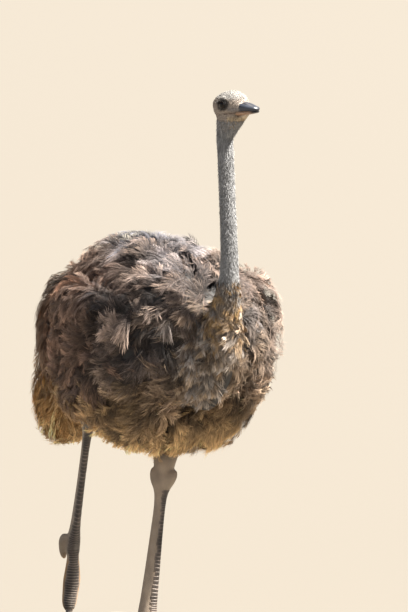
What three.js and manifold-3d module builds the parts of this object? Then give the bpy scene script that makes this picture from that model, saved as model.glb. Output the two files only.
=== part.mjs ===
// A life-size standing model of a female ostrich, one foot flat and the other on its toe tip,
// on a thin display base. Millimetres, +Z up, the bird faces -Y and its left side is +X.
// The origin is on the floor, under the middle of the model's bounding box.
import * as THREE from "three";
import { mergeVertices } from "three/addons/utils/BufferGeometryUtils.js";
import Module from "manifold-3d";

const wasm = await Module();
wasm.setup();

// ---- driving dimensions ------------------------------------------------------------------
const GAP = 0.35; // clearance between touching pieces
const FLOOR = 0; // level of the soles
const BASE_THICK = 16; // plain base that keeps the bird from falling over
const BASE_SIZE = [370, 720];
const BASE_MIDDLE = [-4, 50];
const BASE_CORNER = 110;
const HEAD_PLACE = [6, -521, 1849]; // between the eyes
const HEAD_YAW = 12; // degrees, towards the bird's left
const HEAD_PITCH = 7; // degrees, bill up
const EYE_OUT = 36.5; // eye centre from the middle of the head
const EYE_RADIUS = 19.5;
const EYE_DEPTH = 12;
const NECK_CUTS = [1225, 1465, 1702]; // heights of the cuts between the lengths of neck and the head

const LEFT_ANKLE = [43, -52, 576];
const LEFT_FOOT = [-29, -54, 74]; // the joint above the toes
const LEFT_TOE_OUT = 39; // degrees the foot turns outwards
const RIGHT_ANKLE = [-81, 217, 752];
const RIGHT_FOOT = [-75, 348, 265];
const RIGHT_TOE_OUT = 21;

// ---- the surfaces --------------------------------------------------------------------------
// A smooth value between key rows: a Catmull-Rom spline through every column.
function between(rows, share) {
  const last = rows.length - 1;
  const place = Math.min(Math.max(share, 0) * last, last - 1e-9);
  const i = Math.floor(place);
  const f = place - i;
  const row = (k) => rows[Math.max(0, Math.min(last, k))];
  const [a, b, c, d] = [row(i - 1), row(i), row(i + 1), row(i + 2)];
  return b.map((_, n) => {
    const slope = (c[n] - a[n]) / 2;
    const next = (d[n] - b[n]) / 2;
    const rise = c[n] - b[n];
    return b[n] + f * (slope + f * (3 * rise - 2 * slope - next + f * (slope + next - 2 * rise)));
  });
}

// A closed skin carried along key rows of [x, y, z, half width, half height over, half height under].
// across is the direction of the width; over is the top where the rows run forwards and the front
// where they run down. Each end is rounded over a share of the length.
function sweep(rows, { rings = 16, sides = 16, across = [1, 0, 0], ends = [0.15, 0.15], square = 2 } = {}) {
  const points = [];
  const faces = [];
  const power = 2 / square;
  for (let r = 0; r <= rings; r++) {
    const share = (1 - Math.cos((Math.PI * r) / rings)) / 2;
    const [x, y, z, wide, top, under] = between(rows, share);
    const step = 0.01;
    const from = new THREE.Vector3(...between(rows, share - step));
    const to = new THREE.Vector3(...between(rows, share + step));
    const along = to.sub(from).normalize();
    const side = new THREE.Vector3(...across).addScaledVector(along, -along.dot(new THREE.Vector3(...across)));
    side.normalize();
    const over = new THREE.Vector3().crossVectors(along, side);
    const near = Math.min(share / ends[0], (1 - share) / ends[1], 1);
    const dome = Math.sqrt(Math.max(0, 1 - (1 - near) ** 2));
    if (r === 0 || r === rings) {
      points.push(x, y, z);
      continue;
    }
    for (let s = 0; s < sides; s++) {
      const turn = (2 * Math.PI * s) / sides;
      const c = Math.cos(turn);
      const n = Math.sin(turn);
      const w = Math.sign(c) * Math.abs(c) ** power * wide * dome;
      const h = Math.sign(n) * Math.abs(n) ** power * (n > 0 ? top : under) * dome;
      points.push(x + side.x * w + over.x * h, y + side.y * w + over.y * h, z + side.z * w + over.z * h);
    }
  }
  const at = (r, s) => 1 + (r - 1) * sides + (s % sides);
  const tip = points.length / 3 - 1;
  for (let s = 0; s < sides; s++) {
    faces.push(0, at(1, s + 1), at(1, s));
    for (let r = 1; r < rings - 1; r++) {
      faces.push(at(r, s), at(r, s + 1), at(r + 1, s + 1), at(r, s), at(r + 1, s + 1), at(r + 1, s));
    }
    faces.push(at(rings - 1, s), at(rings - 1, s + 1), tip);
  }
  const shape = new THREE.BufferGeometry();
  shape.setAttribute("position", new THREE.Float32BufferAttribute(points, 3));
  shape.setIndex(faces);
  return shape;
}

// ---- solids ----------------------------------------------------------------------------------
// A geometry as a manifold-3d solid, grown outwards by a few tenths where it cuts a neighbour.
function solid(shape, grow = 0) {
  const bare = shape.clone();
  bare.deleteAttribute("normal");
  bare.deleteAttribute("uv");
  const merged = mergeVertices(bare, 1e-3);
  merged.computeVertexNormals();
  const place = merged.attributes.position;
  const normal = merged.attributes.normal;
  const vertices = new Float32Array(place.count * 3);
  for (let i = 0; i < place.count; i++) {
    vertices[i * 3] = place.getX(i) + normal.getX(i) * grow;
    vertices[i * 3 + 1] = place.getY(i) + normal.getY(i) * grow;
    vertices[i * 3 + 2] = place.getZ(i) + normal.getZ(i) * grow;
  }
  const mesh = new wasm.Mesh({ numProp: 3, vertProperties: vertices, triVerts: new Uint32Array(merged.index.array) });
  const made = new wasm.Manifold(mesh);
  if (made.volume() >= 0) return made;
  for (let i = 0; i < mesh.triVerts.length; i += 3) {
    [mesh.triVerts[i + 1], mesh.triVerts[i + 2]] = [mesh.triVerts[i + 2], mesh.triVerts[i + 1]];
  }
  return new wasm.Manifold(mesh);
}

// The largest body of a solid, without the slivers that a cut can leave.
function largest(whole) {
  return whole.decompose().sort((a, b) => b.volume() - a.volume())[0];
}

// A box between two corners, as a solid to cut with.
function block(low, high) {
  const size = high.map((v, i) => v - low[i]);
  const shape = new THREE.BoxGeometry(...size);
  shape.translate(...high.map((v, i) => (v + low[i]) / 2));
  return solid(shape);
}

const FAR = 3000;
const belowHeight = (z) => block([-FAR, -FAR, -FAR], [FAR, FAR, z]);
const aboveHeight = (z) => block([-FAR, -FAR, z], [FAR, FAR, FAR]);

const group = new THREE.Group();

function addPiece(name, made, { color, roughness = 0.8 }) {
  const mesh = made.getMesh();
  const shape = new THREE.BufferGeometry();
  shape.setAttribute("position", new THREE.Float32BufferAttribute(mesh.vertProperties, 3));
  shape.setIndex(new THREE.Uint32BufferAttribute(mesh.triVerts, 1));
  shape.computeVertexNormals();
  const piece = new THREE.Mesh(shape, new THREE.MeshStandardMaterial({ color, roughness, metalness: 0 }));
  piece.name = name;
  group.add(piece);
}

const PLUMAGE = { color: 0x6f6259, roughness: 0.95 };
const WING_PLUMAGE = { color: 0x756a63, roughness: 0.95 };
const TAIL_PLUMAGE = { color: 0x6d5a46, roughness: 0.95 };
const NECK_SKIN = { color: 0xa09a90, roughness: 0.85 };
const LEG_SKIN = { color: 0x94877b, roughness: 0.7 };
const HORN = { color: 0x4b4a4e, roughness: 0.45 };
const EYE = { color: 0x1d130c, roughness: 0.1 };
const CLAW = { color: 0x3c3631, roughness: 0.5 };
const STAND = { color: 0xb4ada2, roughness: 0.6 };

const mirrored = (rows) => rows.map(([x, ...rest]) => [-x, ...rest]);

// ---- trunk, wings and tail, out to the tips of the feathers ----------------------------------
const TRUNK = [
  [0, 548, 1000, 50, 50, 60],
  [0, 490, 1005, 116, 122, 135],
  [0, 385, 1015, 172, 200, 222],
  [0, 245, 1025, 220, 278, 296],
  [0, 85, 1035, 258, 340, 340],
  [0, -75, 1032, 288, 362, 345],
  [0, -200, 1020, 306, 350, 338],
  [0, -300, 1000, 298, 300, 322],
  [0, -385, 978, 244, 208, 284],
  [0, -440, 955, 112, 85, 152],
];
const trunkShape = sweep(TRUNK, { rings: 24, sides: 24, ends: [0.08, 0.08], square: 2.9 });
const trunkCutter = solid(trunkShape, GAP);

const RIGHT_WING = [
  [-212, 215, 995, 30, 70, 80],
  [-240, 135, 1005, 50, 150, 155],
  [-268, 20, 1020, 72, 220, 222],
  [-284, -100, 1038, 78, 248, 248],
  [-282, -215, 1052, 78, 232, 244],
  [-256, -310, 1060, 74, 170, 188],
  [-215, -365, 1068, 52, 95, 105],
];
const wingLook = { rings: 14, sides: 16, ends: [0.1, 0.1], square: 2.7 };
const wings = {
  right: sweep(RIGHT_WING, wingLook),
  left: sweep(mirrored(RIGHT_WING), wingLook),
};

const TAIL = [
  [-6, 464, 624, 50, 28, 34],
  [-8, 492, 668, 98, 50, 64],
  [-6, 506, 750, 126, 62, 90],
  [-2, 500, 850, 132, 68, 100],
  [0, 474, 950, 130, 70, 90],
  [0, 428, 1040, 122, 72, 85],
  [0, 345, 1100, 100, 72, 75],
];
const tailShape = sweep(TAIL, { rings: 13, sides: 16, ends: [0.1, 0.1] });

// ---- neck and head -----------------------------------------------------------------------------
const NECK = [
  [6, -512, 1864, 30, 36, 48],
  [5, -511, 1808, 40, 48, 60],
  [3, -501, 1778, 34, 34, 46],
  [1, -492, 1753, 30, 29, 33],
  [0, -491, 1728, 28.5, 28, 29],
  [0, -493, 1700, 27.5, 28, 28.5],
  [0, -499, 1625, 27.5, 28, 28],
  [0, -506, 1530, 28, 28, 29],
  [0, -513, 1430, 29, 29, 30],
  [0, -517, 1335, 31, 31, 32],
  [0, -508, 1245, 38.5, 38, 38],
  [0, -480, 1160, 54, 52, 48],
  [0, -430, 1085, 78, 84, 68],
  [0, -368, 1012, 94, 128, 92],
  [0, -280, 930, 92, 138, 110],
];

// The head's own frame: x to the bird's left, y back, z up, origin between the eyes.
const SKULL = [
  [0, 66, -9, 14, 12, 20],
  [0, 57, -7, 30, 26, 35],
  [0, 40, -5, 39, 38, 42],
  [0, 18, -4, 43.5, 45, 42],
  [0, -4, -4, 44.5, 47, 40],
  [0, -22, -6, 42.5, 43, 36],
  [0, -36, -9, 39.5, 35, 30],
  [0, -49, -13, 32, 22, 24],
  [0, -62, -17, 27, 13, 18],
  [0, -72, -20, 18, 7, 11],
];
const THROAT = [
  [0, -74, -33, 12, 6, 6],
  [0, -46, -43.5, 18, 10, 10],
  [0, -12, -62, 23, 15, 16],
  [0, 12, -84, 24, 14, 18],
  [0, 28, -104, 20, 10, 14],
];
const UPPER_BILL = [
  [0, -34, -13, 30, 18.5, 12.6],
  [0, -48, -13.5, 31, 18.5, 12],
  [0, -62, -15.5, 29, 17.5, 10.2],
  [0, -77, -18, 25.5, 14, 8],
  [0, -91, -20.5, 21, 10.5, 5.8],
  [0, -103, -23, 16.5, 7.5, 4.8],
  [0, -112, -26, 9.5, 5, 5.6],
];
const LOWER_BILL = [
  [0, -34, -31, 29.5, 4.8, 9],
  [0, -52, -31.3, 28.8, 4.2, 8.4],
  [0, -70, -31.6, 25.6, 3.8, 7],
  [0, -87, -31.8, 21, 3.6, 5.6],
  [0, -101, -31.8, 16, 3.2, 4.4],
  [0, -109, -31.6, 9.5, 2.4, 3],
];

const headPlace = new THREE.Matrix4().compose(
  new THREE.Vector3(...HEAD_PLACE),
  new THREE.Quaternion().setFromEuler(
    new THREE.Euler(THREE.MathUtils.degToRad(-HEAD_PITCH), 0, THREE.MathUtils.degToRad(HEAD_YAW), "ZYX"),
  ),
  new THREE.Vector3(1, 1, 1),
);
const onHead = (shape) => shape.applyMatrix4(headPlace);

// A ridge that follows the rim of an eye from one angle to another, as rows for a sweep.
function rimRows(side, from, to, out, thick, rise) {
  const rows = [];
  const steps = 6;
  for (let i = 0; i <= steps; i++) {
    const turn = THREE.MathUtils.degToRad(from + ((to - from) * i) / steps);
    const y = -Math.cos(turn) * (EYE_RADIUS + rise);
    const z = Math.sin(turn) * (EYE_RADIUS + rise) * 0.86;
    const full = Math.sin((Math.PI * (i + 0.6)) / (steps + 1.2));
    rows.push([side * out, y, z, thick * full, thick * full, thick * full]);
  }
  return rows;
}

function eyeShape(side) {
  const ball = new THREE.SphereGeometry(1, 12, 9);
  ball.scale(EYE_DEPTH, EYE_RADIUS, EYE_RADIUS);
  ball.translate(side * EYE_OUT, 0, 0);
  return onHead(ball);
}

function earShape(side) {
  const disc = new THREE.SphereGeometry(1, 8, 5);
  disc.scale(3, 6.5, 8);
  disc.translate(side * 41.5, 29, -33);
  return onHead(disc);
}

const eyes = { left: eyeShape(1), right: eyeShape(-1) };
const ears = { left: earShape(1), right: earShape(-1) };
const upperBillShape = onHead(sweep(UPPER_BILL, { rings: 11, sides: 14, ends: [0.03, 0.16], square: 2.3 }));
const lowerBillShape = onHead(sweep(LOWER_BILL, { rings: 9, sides: 12, ends: [0.03, 0.16], square: 2.3 }));

function nostril(side) {
  const rows = [
    [side * 15, -56, -3.5, 2.5, 2.5, 2.5],
    [side * 17, -62, -6, 4, 4, 4],
    [side * 16.5, -72, -10, 3.6, 3.6, 3.6],
    [side * 14.5, -79, -13, 2, 2, 2],
  ];
  return solid(onHead(sweep(rows, { rings: 6, sides: 8, ends: [0.3, 0.3] })));
}

const trunkSolid = solid(trunkShape);
const neckSolid = solid(sweep(NECK, { rings: 32, sides: 14, ends: [0.06, 0.02] }));
const skullShape = onHead(sweep(SKULL, { rings: 16, sides: 18, ends: [0.16, 0.2], square: 2.2 }));
const throatShape = onHead(sweep(THROAT, { rings: 10, sides: 12, ends: [0.15, 0.1] }));
let headAndNeck = neckSolid.add(solid(skullShape)).add(solid(throatShape));
for (const side of [1, -1]) {
  const brow = rimRows(side, 8, 172, 39.5, 7.5, 3);
  const lid = rimRows(side, 190, 350, 39, 5, 1.5);
  for (const rows of [brow, lid]) {
    headAndNeck = headAndNeck.add(solid(onHead(sweep(rows, { rings: 6, sides: 6, ends: [0.2, 0.2] }))));
  }
}
const billCutters = solid(upperBillShape, GAP).add(solid(lowerBillShape, GAP));
headAndNeck = headAndNeck.subtract(billCutters).subtract(trunkCutter);
for (const side of ["left", "right"]) {
  headAndNeck = headAndNeck.subtract(solid(eyes[side], GAP)).subtract(solid(ears[side], GAP));
}

const [lowCut, midCut, topCut] = NECK_CUTS;
addPiece("trunk", trunkSolid, PLUMAGE);
addPiece("neck_lower", largest(headAndNeck.subtract(aboveHeight(lowCut - GAP))), NECK_SKIN);
addPiece(
  "neck_middle",
  largest(headAndNeck.subtract(belowHeight(lowCut)).subtract(aboveHeight(midCut - GAP))),
  NECK_SKIN,
);
addPiece(
  "neck_upper",
  largest(headAndNeck.subtract(belowHeight(midCut)).subtract(aboveHeight(topCut - GAP))),
  NECK_SKIN,
);
addPiece("head", largest(headAndNeck.subtract(belowHeight(topCut))), NECK_SKIN);
const lowerBill = solid(lowerBillShape);
addPiece("bill_lower", lowerBill, HORN);
addPiece(
  "bill_upper",
  largest(solid(upperBillShape).subtract(solid(lowerBillShape, GAP)).subtract(nostril(1)).subtract(nostril(-1))),
  HORN,
);
for (const side of ["left", "right"]) {
  addPiece(`eye_${side}`, solid(eyes[side]), EYE);
  addPiece(`ear_${side}`, solid(ears[side]), NECK_SKIN);
}

// ---- wings and tail on the trunk -----------------------------------------------------------
const neckCutter = solid(sweep(NECK, { rings: 32, sides: 14, ends: [0.06, 0.02] }), GAP);
const cutByTrunk = (shape) => solid(shape).subtract(trunkCutter).subtract(neckCutter);
for (const side of ["left", "right"]) {
  addPiece(`wing_${side}`, largest(cutByTrunk(wings[side])), WING_PLUMAGE);
}
const wingCutter = solid(wings.left, GAP).add(solid(wings.right, GAP));
const tailSolid = largest(cutByTrunk(tailShape).subtract(wingCutter));
addPiece("tail", tailSolid, TAIL_PLUMAGE);

// ---- legs --------------------------------------------------------------------------------------
const legs = {
  left: { knee: [74, -84, 960], ankle: LEFT_ANKLE, foot: LEFT_FOOT, out: LEFT_TOE_OUT, outer: 1 },
  right: { knee: [-150, -110, 900], ankle: RIGHT_ANKLE, foot: RIGHT_FOOT, out: -RIGHT_TOE_OUT, outer: -1 },
};
// [share from the knee to the ankle, radius]
const THIGHS = {
  left: [
    [-0.1, 90],
    [0.2, 116],
    [0.5, 96],
    [0.72, 66],
    [0.88, 50],
    [1.0, 45],
  ],
  right: [
    [0.1, 110],
    [0.4, 122],
    [0.65, 108],
    [0.85, 78],
    [1.0, 48],
    [1.08, 36],
  ],
};

const mix = (a, b, f) => a.map((v, i) => v + (b[i] - v) * f);

// The leg's forward direction, and the direction across it, on the floor plane.
function heading(out) {
  const turn = THREE.MathUtils.degToRad(out);
  return { ahead: [Math.sin(turn), -Math.cos(turn), 0], across: [Math.cos(turn), Math.sin(turn), 0] };
}

function thighShape({ knee, ankle, out }, sizes) {
  const rows = sizes.map(([share, radius]) => [...mix(knee, ankle, share), radius, radius, radius]);
  return sweep(rows, { rings: 11, sides: 12, across: heading(out).across, ends: [0.15, 0.02] });
}

// From the ankle to the joint above the toes: [share, half width, half depth in front, behind].
const SHANK = [
  [-0.05, 33, 46, 43],
  [0.0, 36, 50, 47],
  [0.05, 32, 42, 42],
  [0.12, 20, 25, 26],
  [0.22, 15.5, 21, 21],
  [0.4, 14.5, 23, 23],
  [0.6, 15, 27, 26],
  [0.82, 18, 31, 30],
  [0.94, 25, 34, 33],
  [1.0, 26, 30, 29],
];

function shankShape({ ankle, foot, out }) {
  const rows = SHANK.map(([share, wide, ahead, behind]) => [...mix(ankle, foot, share), wide, ahead, behind]);
  return sweep(rows, { rings: 17, sides: 12, across: heading(out).across, ends: [0.05, 0.04] });
}

// A toe as rows from a path of [ahead, outward, height] in the foot's own frame.
function toeRows(leg, path) {
  const { ahead, across } = heading(leg.out);
  return path.map(([a, o, h, ...size]) => [
    leg.foot[0] + ahead[0] * a + across[0] * o * leg.outer,
    leg.foot[1] + ahead[1] * a + across[1] * o * leg.outer,
    h,
    ...size,
  ]);
}

// The standing foot lies along the floor; the trailing foot hangs down to its toe tip.
const TOES = {
  left: {
    inner: [
      [-34, 0, 62, 20, 22, 24],
      [-8, 0, 60, 33, 34, 40],
      [26, 0, 46, 33, 30, 46],
      [66, -1, 33, 31, 25, 36],
      [106, -2, 29, 30, 22, 32],
      [142, -3, 26, 29, 20, 28],
      [172, -4, 20, 24, 17, 22],
      [190, -5, 16, 15, 11, 17],
    ],
    outer: [
      [2, 18, 54, 18, 18, 22],
      [30, 34, 36, 19, 17, 30],
      [60, 50, 24, 18, 15, 25],
      [90, 66, 19, 16, 13, 20],
      [116, 80, 14, 11, 9, 15],
    ],
    claw: [
      [168, -4, 24, 13, 7, 9],
      [196, -5, 20, 14, 7, 11],
      [222, -6, 12, 10, 5, 8],
      [244, -7, 5, 4, 3, 4],
    ],
  },
  right: {
    inner: [
      [-6, 0, 296, 18, 18, 18],
      [0, 0, 268, 27, 29, 32],
      [2, -1, 234, 22, 24, 27],
      [0, 0, 196, 26, 22, 27],
      [-2, 3, 150, 31, 22, 30],
      [-2, 8, 108, 29, 20, 30],
      [2, 13, 70, 26, 18, 25],
      [5, 14, 38, 18, 13, 17],
    ],
    outer: [
      [0, 20, 312, 15, 16, 18],
      [-8, 29, 290, 18, 19, 20],
      [-20, 30, 262, 16, 16, 18],
      [-36, 26, 236, 13, 12, 14],
      [-48, 20, 216, 8, 8, 9],
    ],
    claw: [
      [6, 14, 64, 12, 7, 8],
      [12, 15, 38, 12, 7, 10],
      [16, 16, 16, 11, 6, 10],
      [20, 17, -14, 8, 6, 8],
    ],
  },
};

const underFloor = belowHeight(FLOOR);
const body = trunkCutter.add(wingCutter).add(solid(tailShape, GAP));
for (const side of ["left", "right"]) {
  const leg = legs[side];
  const { across } = heading(leg.out);
  const shank = shankShape(leg);
  const shankCutter = solid(shank, GAP);
  addPiece(`thigh_${side}`, largest(solid(thighShape(leg, THIGHS[side])).subtract(body).subtract(shankCutter)), PLUMAGE);
  addPiece(`shank_${side}`, largest(solid(shank).subtract(body)), LEG_SKIN);

  const toe = (part, look) => sweep(toeRows(leg, TOES[side][part]), { across, ...look });
  const innerLook = { rings: 14, sides: 12, ends: [0.12, 0.12] };
  const outerLook = { rings: 10, sides: 10, ends: [0.12, 0.16] };
  const clawLook = { rings: 7, sides: 8, ends: [0.1, 0.25] };
  const inner = toe("inner", innerLook);
  const claw = toe("claw", clawLook);
  const footSolid = solid(inner).subtract(shankCutter).subtract(solid(claw, GAP)).subtract(underFloor);
  addPiece(`foot_${side}`, largest(footSolid), LEG_SKIN);
  const outerSolid = solid(toe("outer", outerLook)).subtract(shankCutter).subtract(solid(inner, GAP));
  addPiece(`outer_toe_${side}`, largest(outerSolid.subtract(underFloor)), LEG_SKIN);
  addPiece(`claw_${side}`, largest(solid(claw).subtract(underFloor)), CLAW);
}

// ---- display base ----------------------------------------------------------------------------
function baseOutline([wide, long], [x, y], corner) {
  const [left, right] = [x - wide / 2, x + wide / 2];
  const [front, back] = [y - long / 2, y + long / 2];
  const outline = new THREE.Shape();
  outline.moveTo(left + corner, front);
  outline.lineTo(right - corner, front);
  outline.absarc(right - corner, front + corner, corner, -Math.PI / 2, 0);
  outline.lineTo(right, back - corner);
  outline.absarc(right - corner, back - corner, corner, 0, Math.PI / 2);
  outline.lineTo(left + corner, back);
  outline.absarc(left + corner, back - corner, corner, Math.PI / 2, Math.PI);
  outline.lineTo(left, front + corner);
  outline.absarc(left + corner, front + corner, corner, Math.PI, Math.PI * 1.5);
  return outline;
}

const baseShape = baseOutline(BASE_SIZE, BASE_MIDDLE, BASE_CORNER);
const base = new THREE.ExtrudeGeometry(baseShape, { depth: BASE_THICK, bevelEnabled: false, curveSegments: 3 });
base.translate(0, 0, FLOOR - GAP - BASE_THICK);
addPiece("stand_base", solid(base), STAND);

// ---- origin: under the middle of the bounding box --------------------------------------------
const box = new THREE.Box3().setFromObject(group);
group.position.set(-(box.min.x + box.max.x) / 2, -(box.min.y + box.max.y) / 2, -box.min.z);

export default group;
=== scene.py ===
import math

import bpy
import numpy as np
from mathutils import Matrix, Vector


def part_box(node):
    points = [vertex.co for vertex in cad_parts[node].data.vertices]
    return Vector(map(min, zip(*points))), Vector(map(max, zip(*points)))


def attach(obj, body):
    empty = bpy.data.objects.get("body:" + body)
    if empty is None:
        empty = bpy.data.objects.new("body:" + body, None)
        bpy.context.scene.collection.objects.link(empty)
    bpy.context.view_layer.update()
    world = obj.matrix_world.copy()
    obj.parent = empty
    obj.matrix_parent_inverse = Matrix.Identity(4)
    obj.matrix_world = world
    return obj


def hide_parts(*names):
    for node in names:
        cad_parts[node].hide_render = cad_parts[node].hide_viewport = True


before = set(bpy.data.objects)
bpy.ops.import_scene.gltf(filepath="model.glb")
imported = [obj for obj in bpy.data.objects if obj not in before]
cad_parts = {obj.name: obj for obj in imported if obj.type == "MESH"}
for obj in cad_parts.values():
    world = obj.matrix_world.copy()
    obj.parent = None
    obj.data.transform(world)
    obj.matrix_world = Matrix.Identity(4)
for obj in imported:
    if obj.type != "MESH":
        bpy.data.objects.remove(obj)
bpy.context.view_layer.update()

mm = 0.001


# numbers and vectors
def unit(v):
    # each row over its own length
    return v / np.maximum(np.linalg.norm(v, axis=-1, keepdims=True), 1e-12)


def smooth(low, high, x):
    # 3s^2 - 2s^3 for s running from 0 at low to 1 at high
    s = np.clip((x - low) / (high - low), 0, 1)
    return s * s * (3 - 2 * s)


def blend(a, b, share):
    # a at share 0, b at share 1, for colours or points
    share = np.asarray(share)[..., None]
    return a * (1 - share) + b * share


def waves(points, size, seed, count=7):
    # sum of sines along random directions with wavelengths near size, about -1 to 1
    rng = np.random.default_rng(seed)
    k = unit(rng.normal(size=(count, 3))) * (2 * math.pi / size) * rng.uniform(0.6, 1.6, (count, 1))
    return np.sin(points @ k.T + rng.uniform(0, 2 * math.pi, count)).sum(1) / math.sqrt(count)


def between(rows, share):
    # Catmull-Rom spline through every column of the rows, at an array of shares from 0 to 1
    rows = np.asarray(rows, float)
    last = len(rows) - 1
    place = np.clip(share, 0, 1) * last
    i = np.minimum(np.floor(place).astype(int), last - 1)
    f = (place - i)[:, None]
    a, b, c, d = (rows[np.clip(i + k, 0, last)] for k in (-1, 0, 1, 2))
    slope, following, rise = (c - a) / 2, (d - b) / 2, c - b
    return b + f * (slope + f * (3 * rise - 2 * slope - following + f * (slope + following - 2 * rise)))


def nearestOnPath(points, path):
    # distance to a polyline and the share of its length at the nearest point
    path = np.asarray(path, float)
    best = np.full(len(points), 1e9)
    share = np.zeros(len(points))
    step = np.linalg.norm(np.diff(path, axis=0), axis=1)
    start = np.concatenate([[0], np.cumsum(step)]) / step.sum()
    for k in range(len(path) - 1):
        line = path[k + 1] - path[k]
        t = np.clip((points - path[k]) @ line / (line @ line), 0, 1)
        gap = np.linalg.norm(points - path[k] - t[:, None] * line, axis=1)
        near = gap < best
        best[near] = gap[near]
        share[near] = (start[k] + t * (start[k + 1] - start[k]))[near]
    return best, share


# meshes
def sweep(rows, rings=40, sides=32, across=(1, 0, 0), ends=(0.15, 0.15), square=2.0, inset=0.0):
    # closed skin along rows of x, y, z, half width, half height over and under, in mm: a superellipse
    # at each ring, rounded at both ends; inset thins it all round and shortens it by as much
    rows = np.array(rows, float) * mm
    rows[:, 3:] = np.maximum(rows[:, 3:] - inset, 0.002)
    first, final = unit(rows[1, :3] - rows[0, :3]), unit(rows[-2, :3] - rows[-1, :3])
    rows[0, :3] += first * inset
    rows[-1, :3] += final * inset
    share = (1 - np.cos(np.linspace(0, math.pi, rings + 1))) / 2
    at = between(rows, share)
    along = unit(between(rows, share + 0.01)[:, :3] - between(rows, share - 0.01)[:, :3])
    across = np.asarray(across, float)
    side = unit(across - along * (along @ across)[:, None])
    over = np.cross(along, side)
    near = np.minimum(np.minimum(share / ends[0], (1 - share) / ends[1]), 1)
    dome = np.sqrt(np.maximum(0, 1 - (1 - near) ** 2))
    turn = np.linspace(0, 2 * math.pi, sides, endpoint=False)
    c, n = np.cos(turn), np.sin(turn)
    w = np.sign(c) * np.abs(c) ** (2 / square)
    h = np.sign(n) * np.abs(n) ** (2 / square)
    wide = at[:, 3:4] * w * dome[:, None]
    tall = np.where(n > 0, at[:, 4:5], at[:, 5:6]) * h * dome[:, None]
    grid = at[:, None, :3] + side[:, None] * wide[..., None] + over[:, None] * tall[..., None]
    body = grid[1:-1].reshape(-1, 3)
    points = np.vstack([at[:1, :3], body, at[-1:, :3]])
    r, s = np.meshgrid(np.arange(rings - 2), np.arange(sides), indexing="ij")
    a = 1 + r * sides + s
    b = 1 + r * sides + (s + 1) % sides
    quads = np.stack([a, b, b + sides, a + sides], -1).reshape(-1, 4)
    s = np.arange(sides)
    tip, lastRing = len(points) - 1, 1 + (rings - 2) * sides
    caps = np.vstack([
        np.stack([np.zeros_like(s), 1 + (s + 1) % sides, 1 + s], -1),
        np.stack([lastRing + s, lastRing + (s + 1) % sides, np.full_like(s, tip)], -1),
    ])
    return points, quads, caps


def makeMesh(name, points, *faceSets):
    # a mesh object from point and face arrays; the shift from the bird's frame is added here
    mesh = bpy.data.meshes.new(name)
    loops = np.concatenate([f.reshape(-1) for f in faceSets])
    sizes = np.concatenate([np.full(len(f), f.shape[1]) for f in faceSets])
    mesh.vertices.add(len(points))
    mesh.vertices.foreach_set("co", (points + shift).astype(np.float32).reshape(-1))
    mesh.loops.add(len(loops))
    mesh.loops.foreach_set("vertex_index", loops.astype(np.int32))
    mesh.polygons.add(len(sizes))
    mesh.polygons.foreach_set("loop_start", (np.cumsum(sizes) - sizes).astype(np.int32))
    mesh.update(calc_edges=True)
    mesh.validate()
    made = bpy.data.objects.new(name, mesh)
    bpy.context.scene.collection.objects.link(made)
    return made


def pointsOf(made):
    co = np.empty(len(made.data.vertices) * 3, np.float32)
    made.data.vertices.foreach_get("co", co)
    return co.reshape(-1, 3).astype(float) - shift


def setPoints(made, points):
    made.data.vertices.foreach_set("co", (points + shift).astype(np.float32).reshape(-1))
    made.data.update()


def normalsOf(made):
    n = np.empty(len(made.data.vertices) * 3, np.float32)
    made.data.vertices.foreach_get("normal", n)
    return n.reshape(-1, 3).astype(float)


def joinShells(name, shells):
    # several closed shells in one mesh, still passing through each other
    points, quads, caps, count = [], [], [], 0
    for p, q, c in shells:
        points.append(p)
        quads.append(q + count)
        caps.append(c + count)
        count += len(p)
    return makeMesh(name, np.vstack(points), np.vstack(quads), np.vstack(caps))


def applyModifiers(made):
    graph = bpy.context.evaluated_depsgraph_get()
    graph.update()
    fresh = bpy.data.meshes.new_from_object(made.evaluated_get(graph))
    old = made.data
    made.modifiers.clear()
    made.data = fresh
    bpy.data.meshes.remove(old)


def fuse(name, shells, voxel):
    # shells fused to one skin by a voxel remesh
    made = joinShells(name, shells)
    made.modifiers.new("fuse", "REMESH").voxel_size = voxel
    applyModifiers(made)
    return made


def relax(made, rounds, weight=None):
    # each round moves a point half way to the mean of its neighbours, times its weight
    edges = np.empty(len(made.data.edges) * 2, np.int32)
    made.data.edges.foreach_get("vertices", edges)
    a, b = edges.reshape(-1, 2).T
    p = pointsOf(made)
    count = np.bincount(np.concatenate([a, b]), minlength=len(p))[:, None]
    strength = 0.5 if weight is None else 0.5 * weight(p)[:, None]
    for _ in range(rounds):
        total = np.stack([
            np.bincount(a, p[b, k], len(p)) + np.bincount(b, p[a, k], len(p)) for k in range(3)
        ], 1)
        p = p + strength * (total / count - p)
    setPoints(made, p)


def unite(base, others):
    # boolean union, one after the other
    for other in others:
        cut = base.modifiers.new("join", "BOOLEAN")
        cut.operation, cut.object, cut.solver = "UNION", other, "MANIFOLD"
        applyModifiers(base)
        bpy.data.objects.remove(other)


def addColour(made, name, colour):
    # one colour per point, linear RGB
    layer = made.data.attributes.new(name, "FLOAT_COLOR", "POINT")
    full = np.ones((len(colour), 4), np.float32)
    full[:, :3] = np.clip(colour, 0, 1)
    layer.data.foreach_set("color", full.reshape(-1))


def addValue(made, name, value):
    layer = made.data.attributes.new(name, "FLOAT", "POINT")
    layer.data.foreach_set("value", np.asarray(value, np.float32))


def finishPiece(made, material, replaces=(), soft=True):
    if soft:
        made.data.shade_smooth()
    made.data.materials.clear()
    made.data.materials.append(material)
    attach(made, "root")
    if replaces:
        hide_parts(*replaces)
    return made


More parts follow.
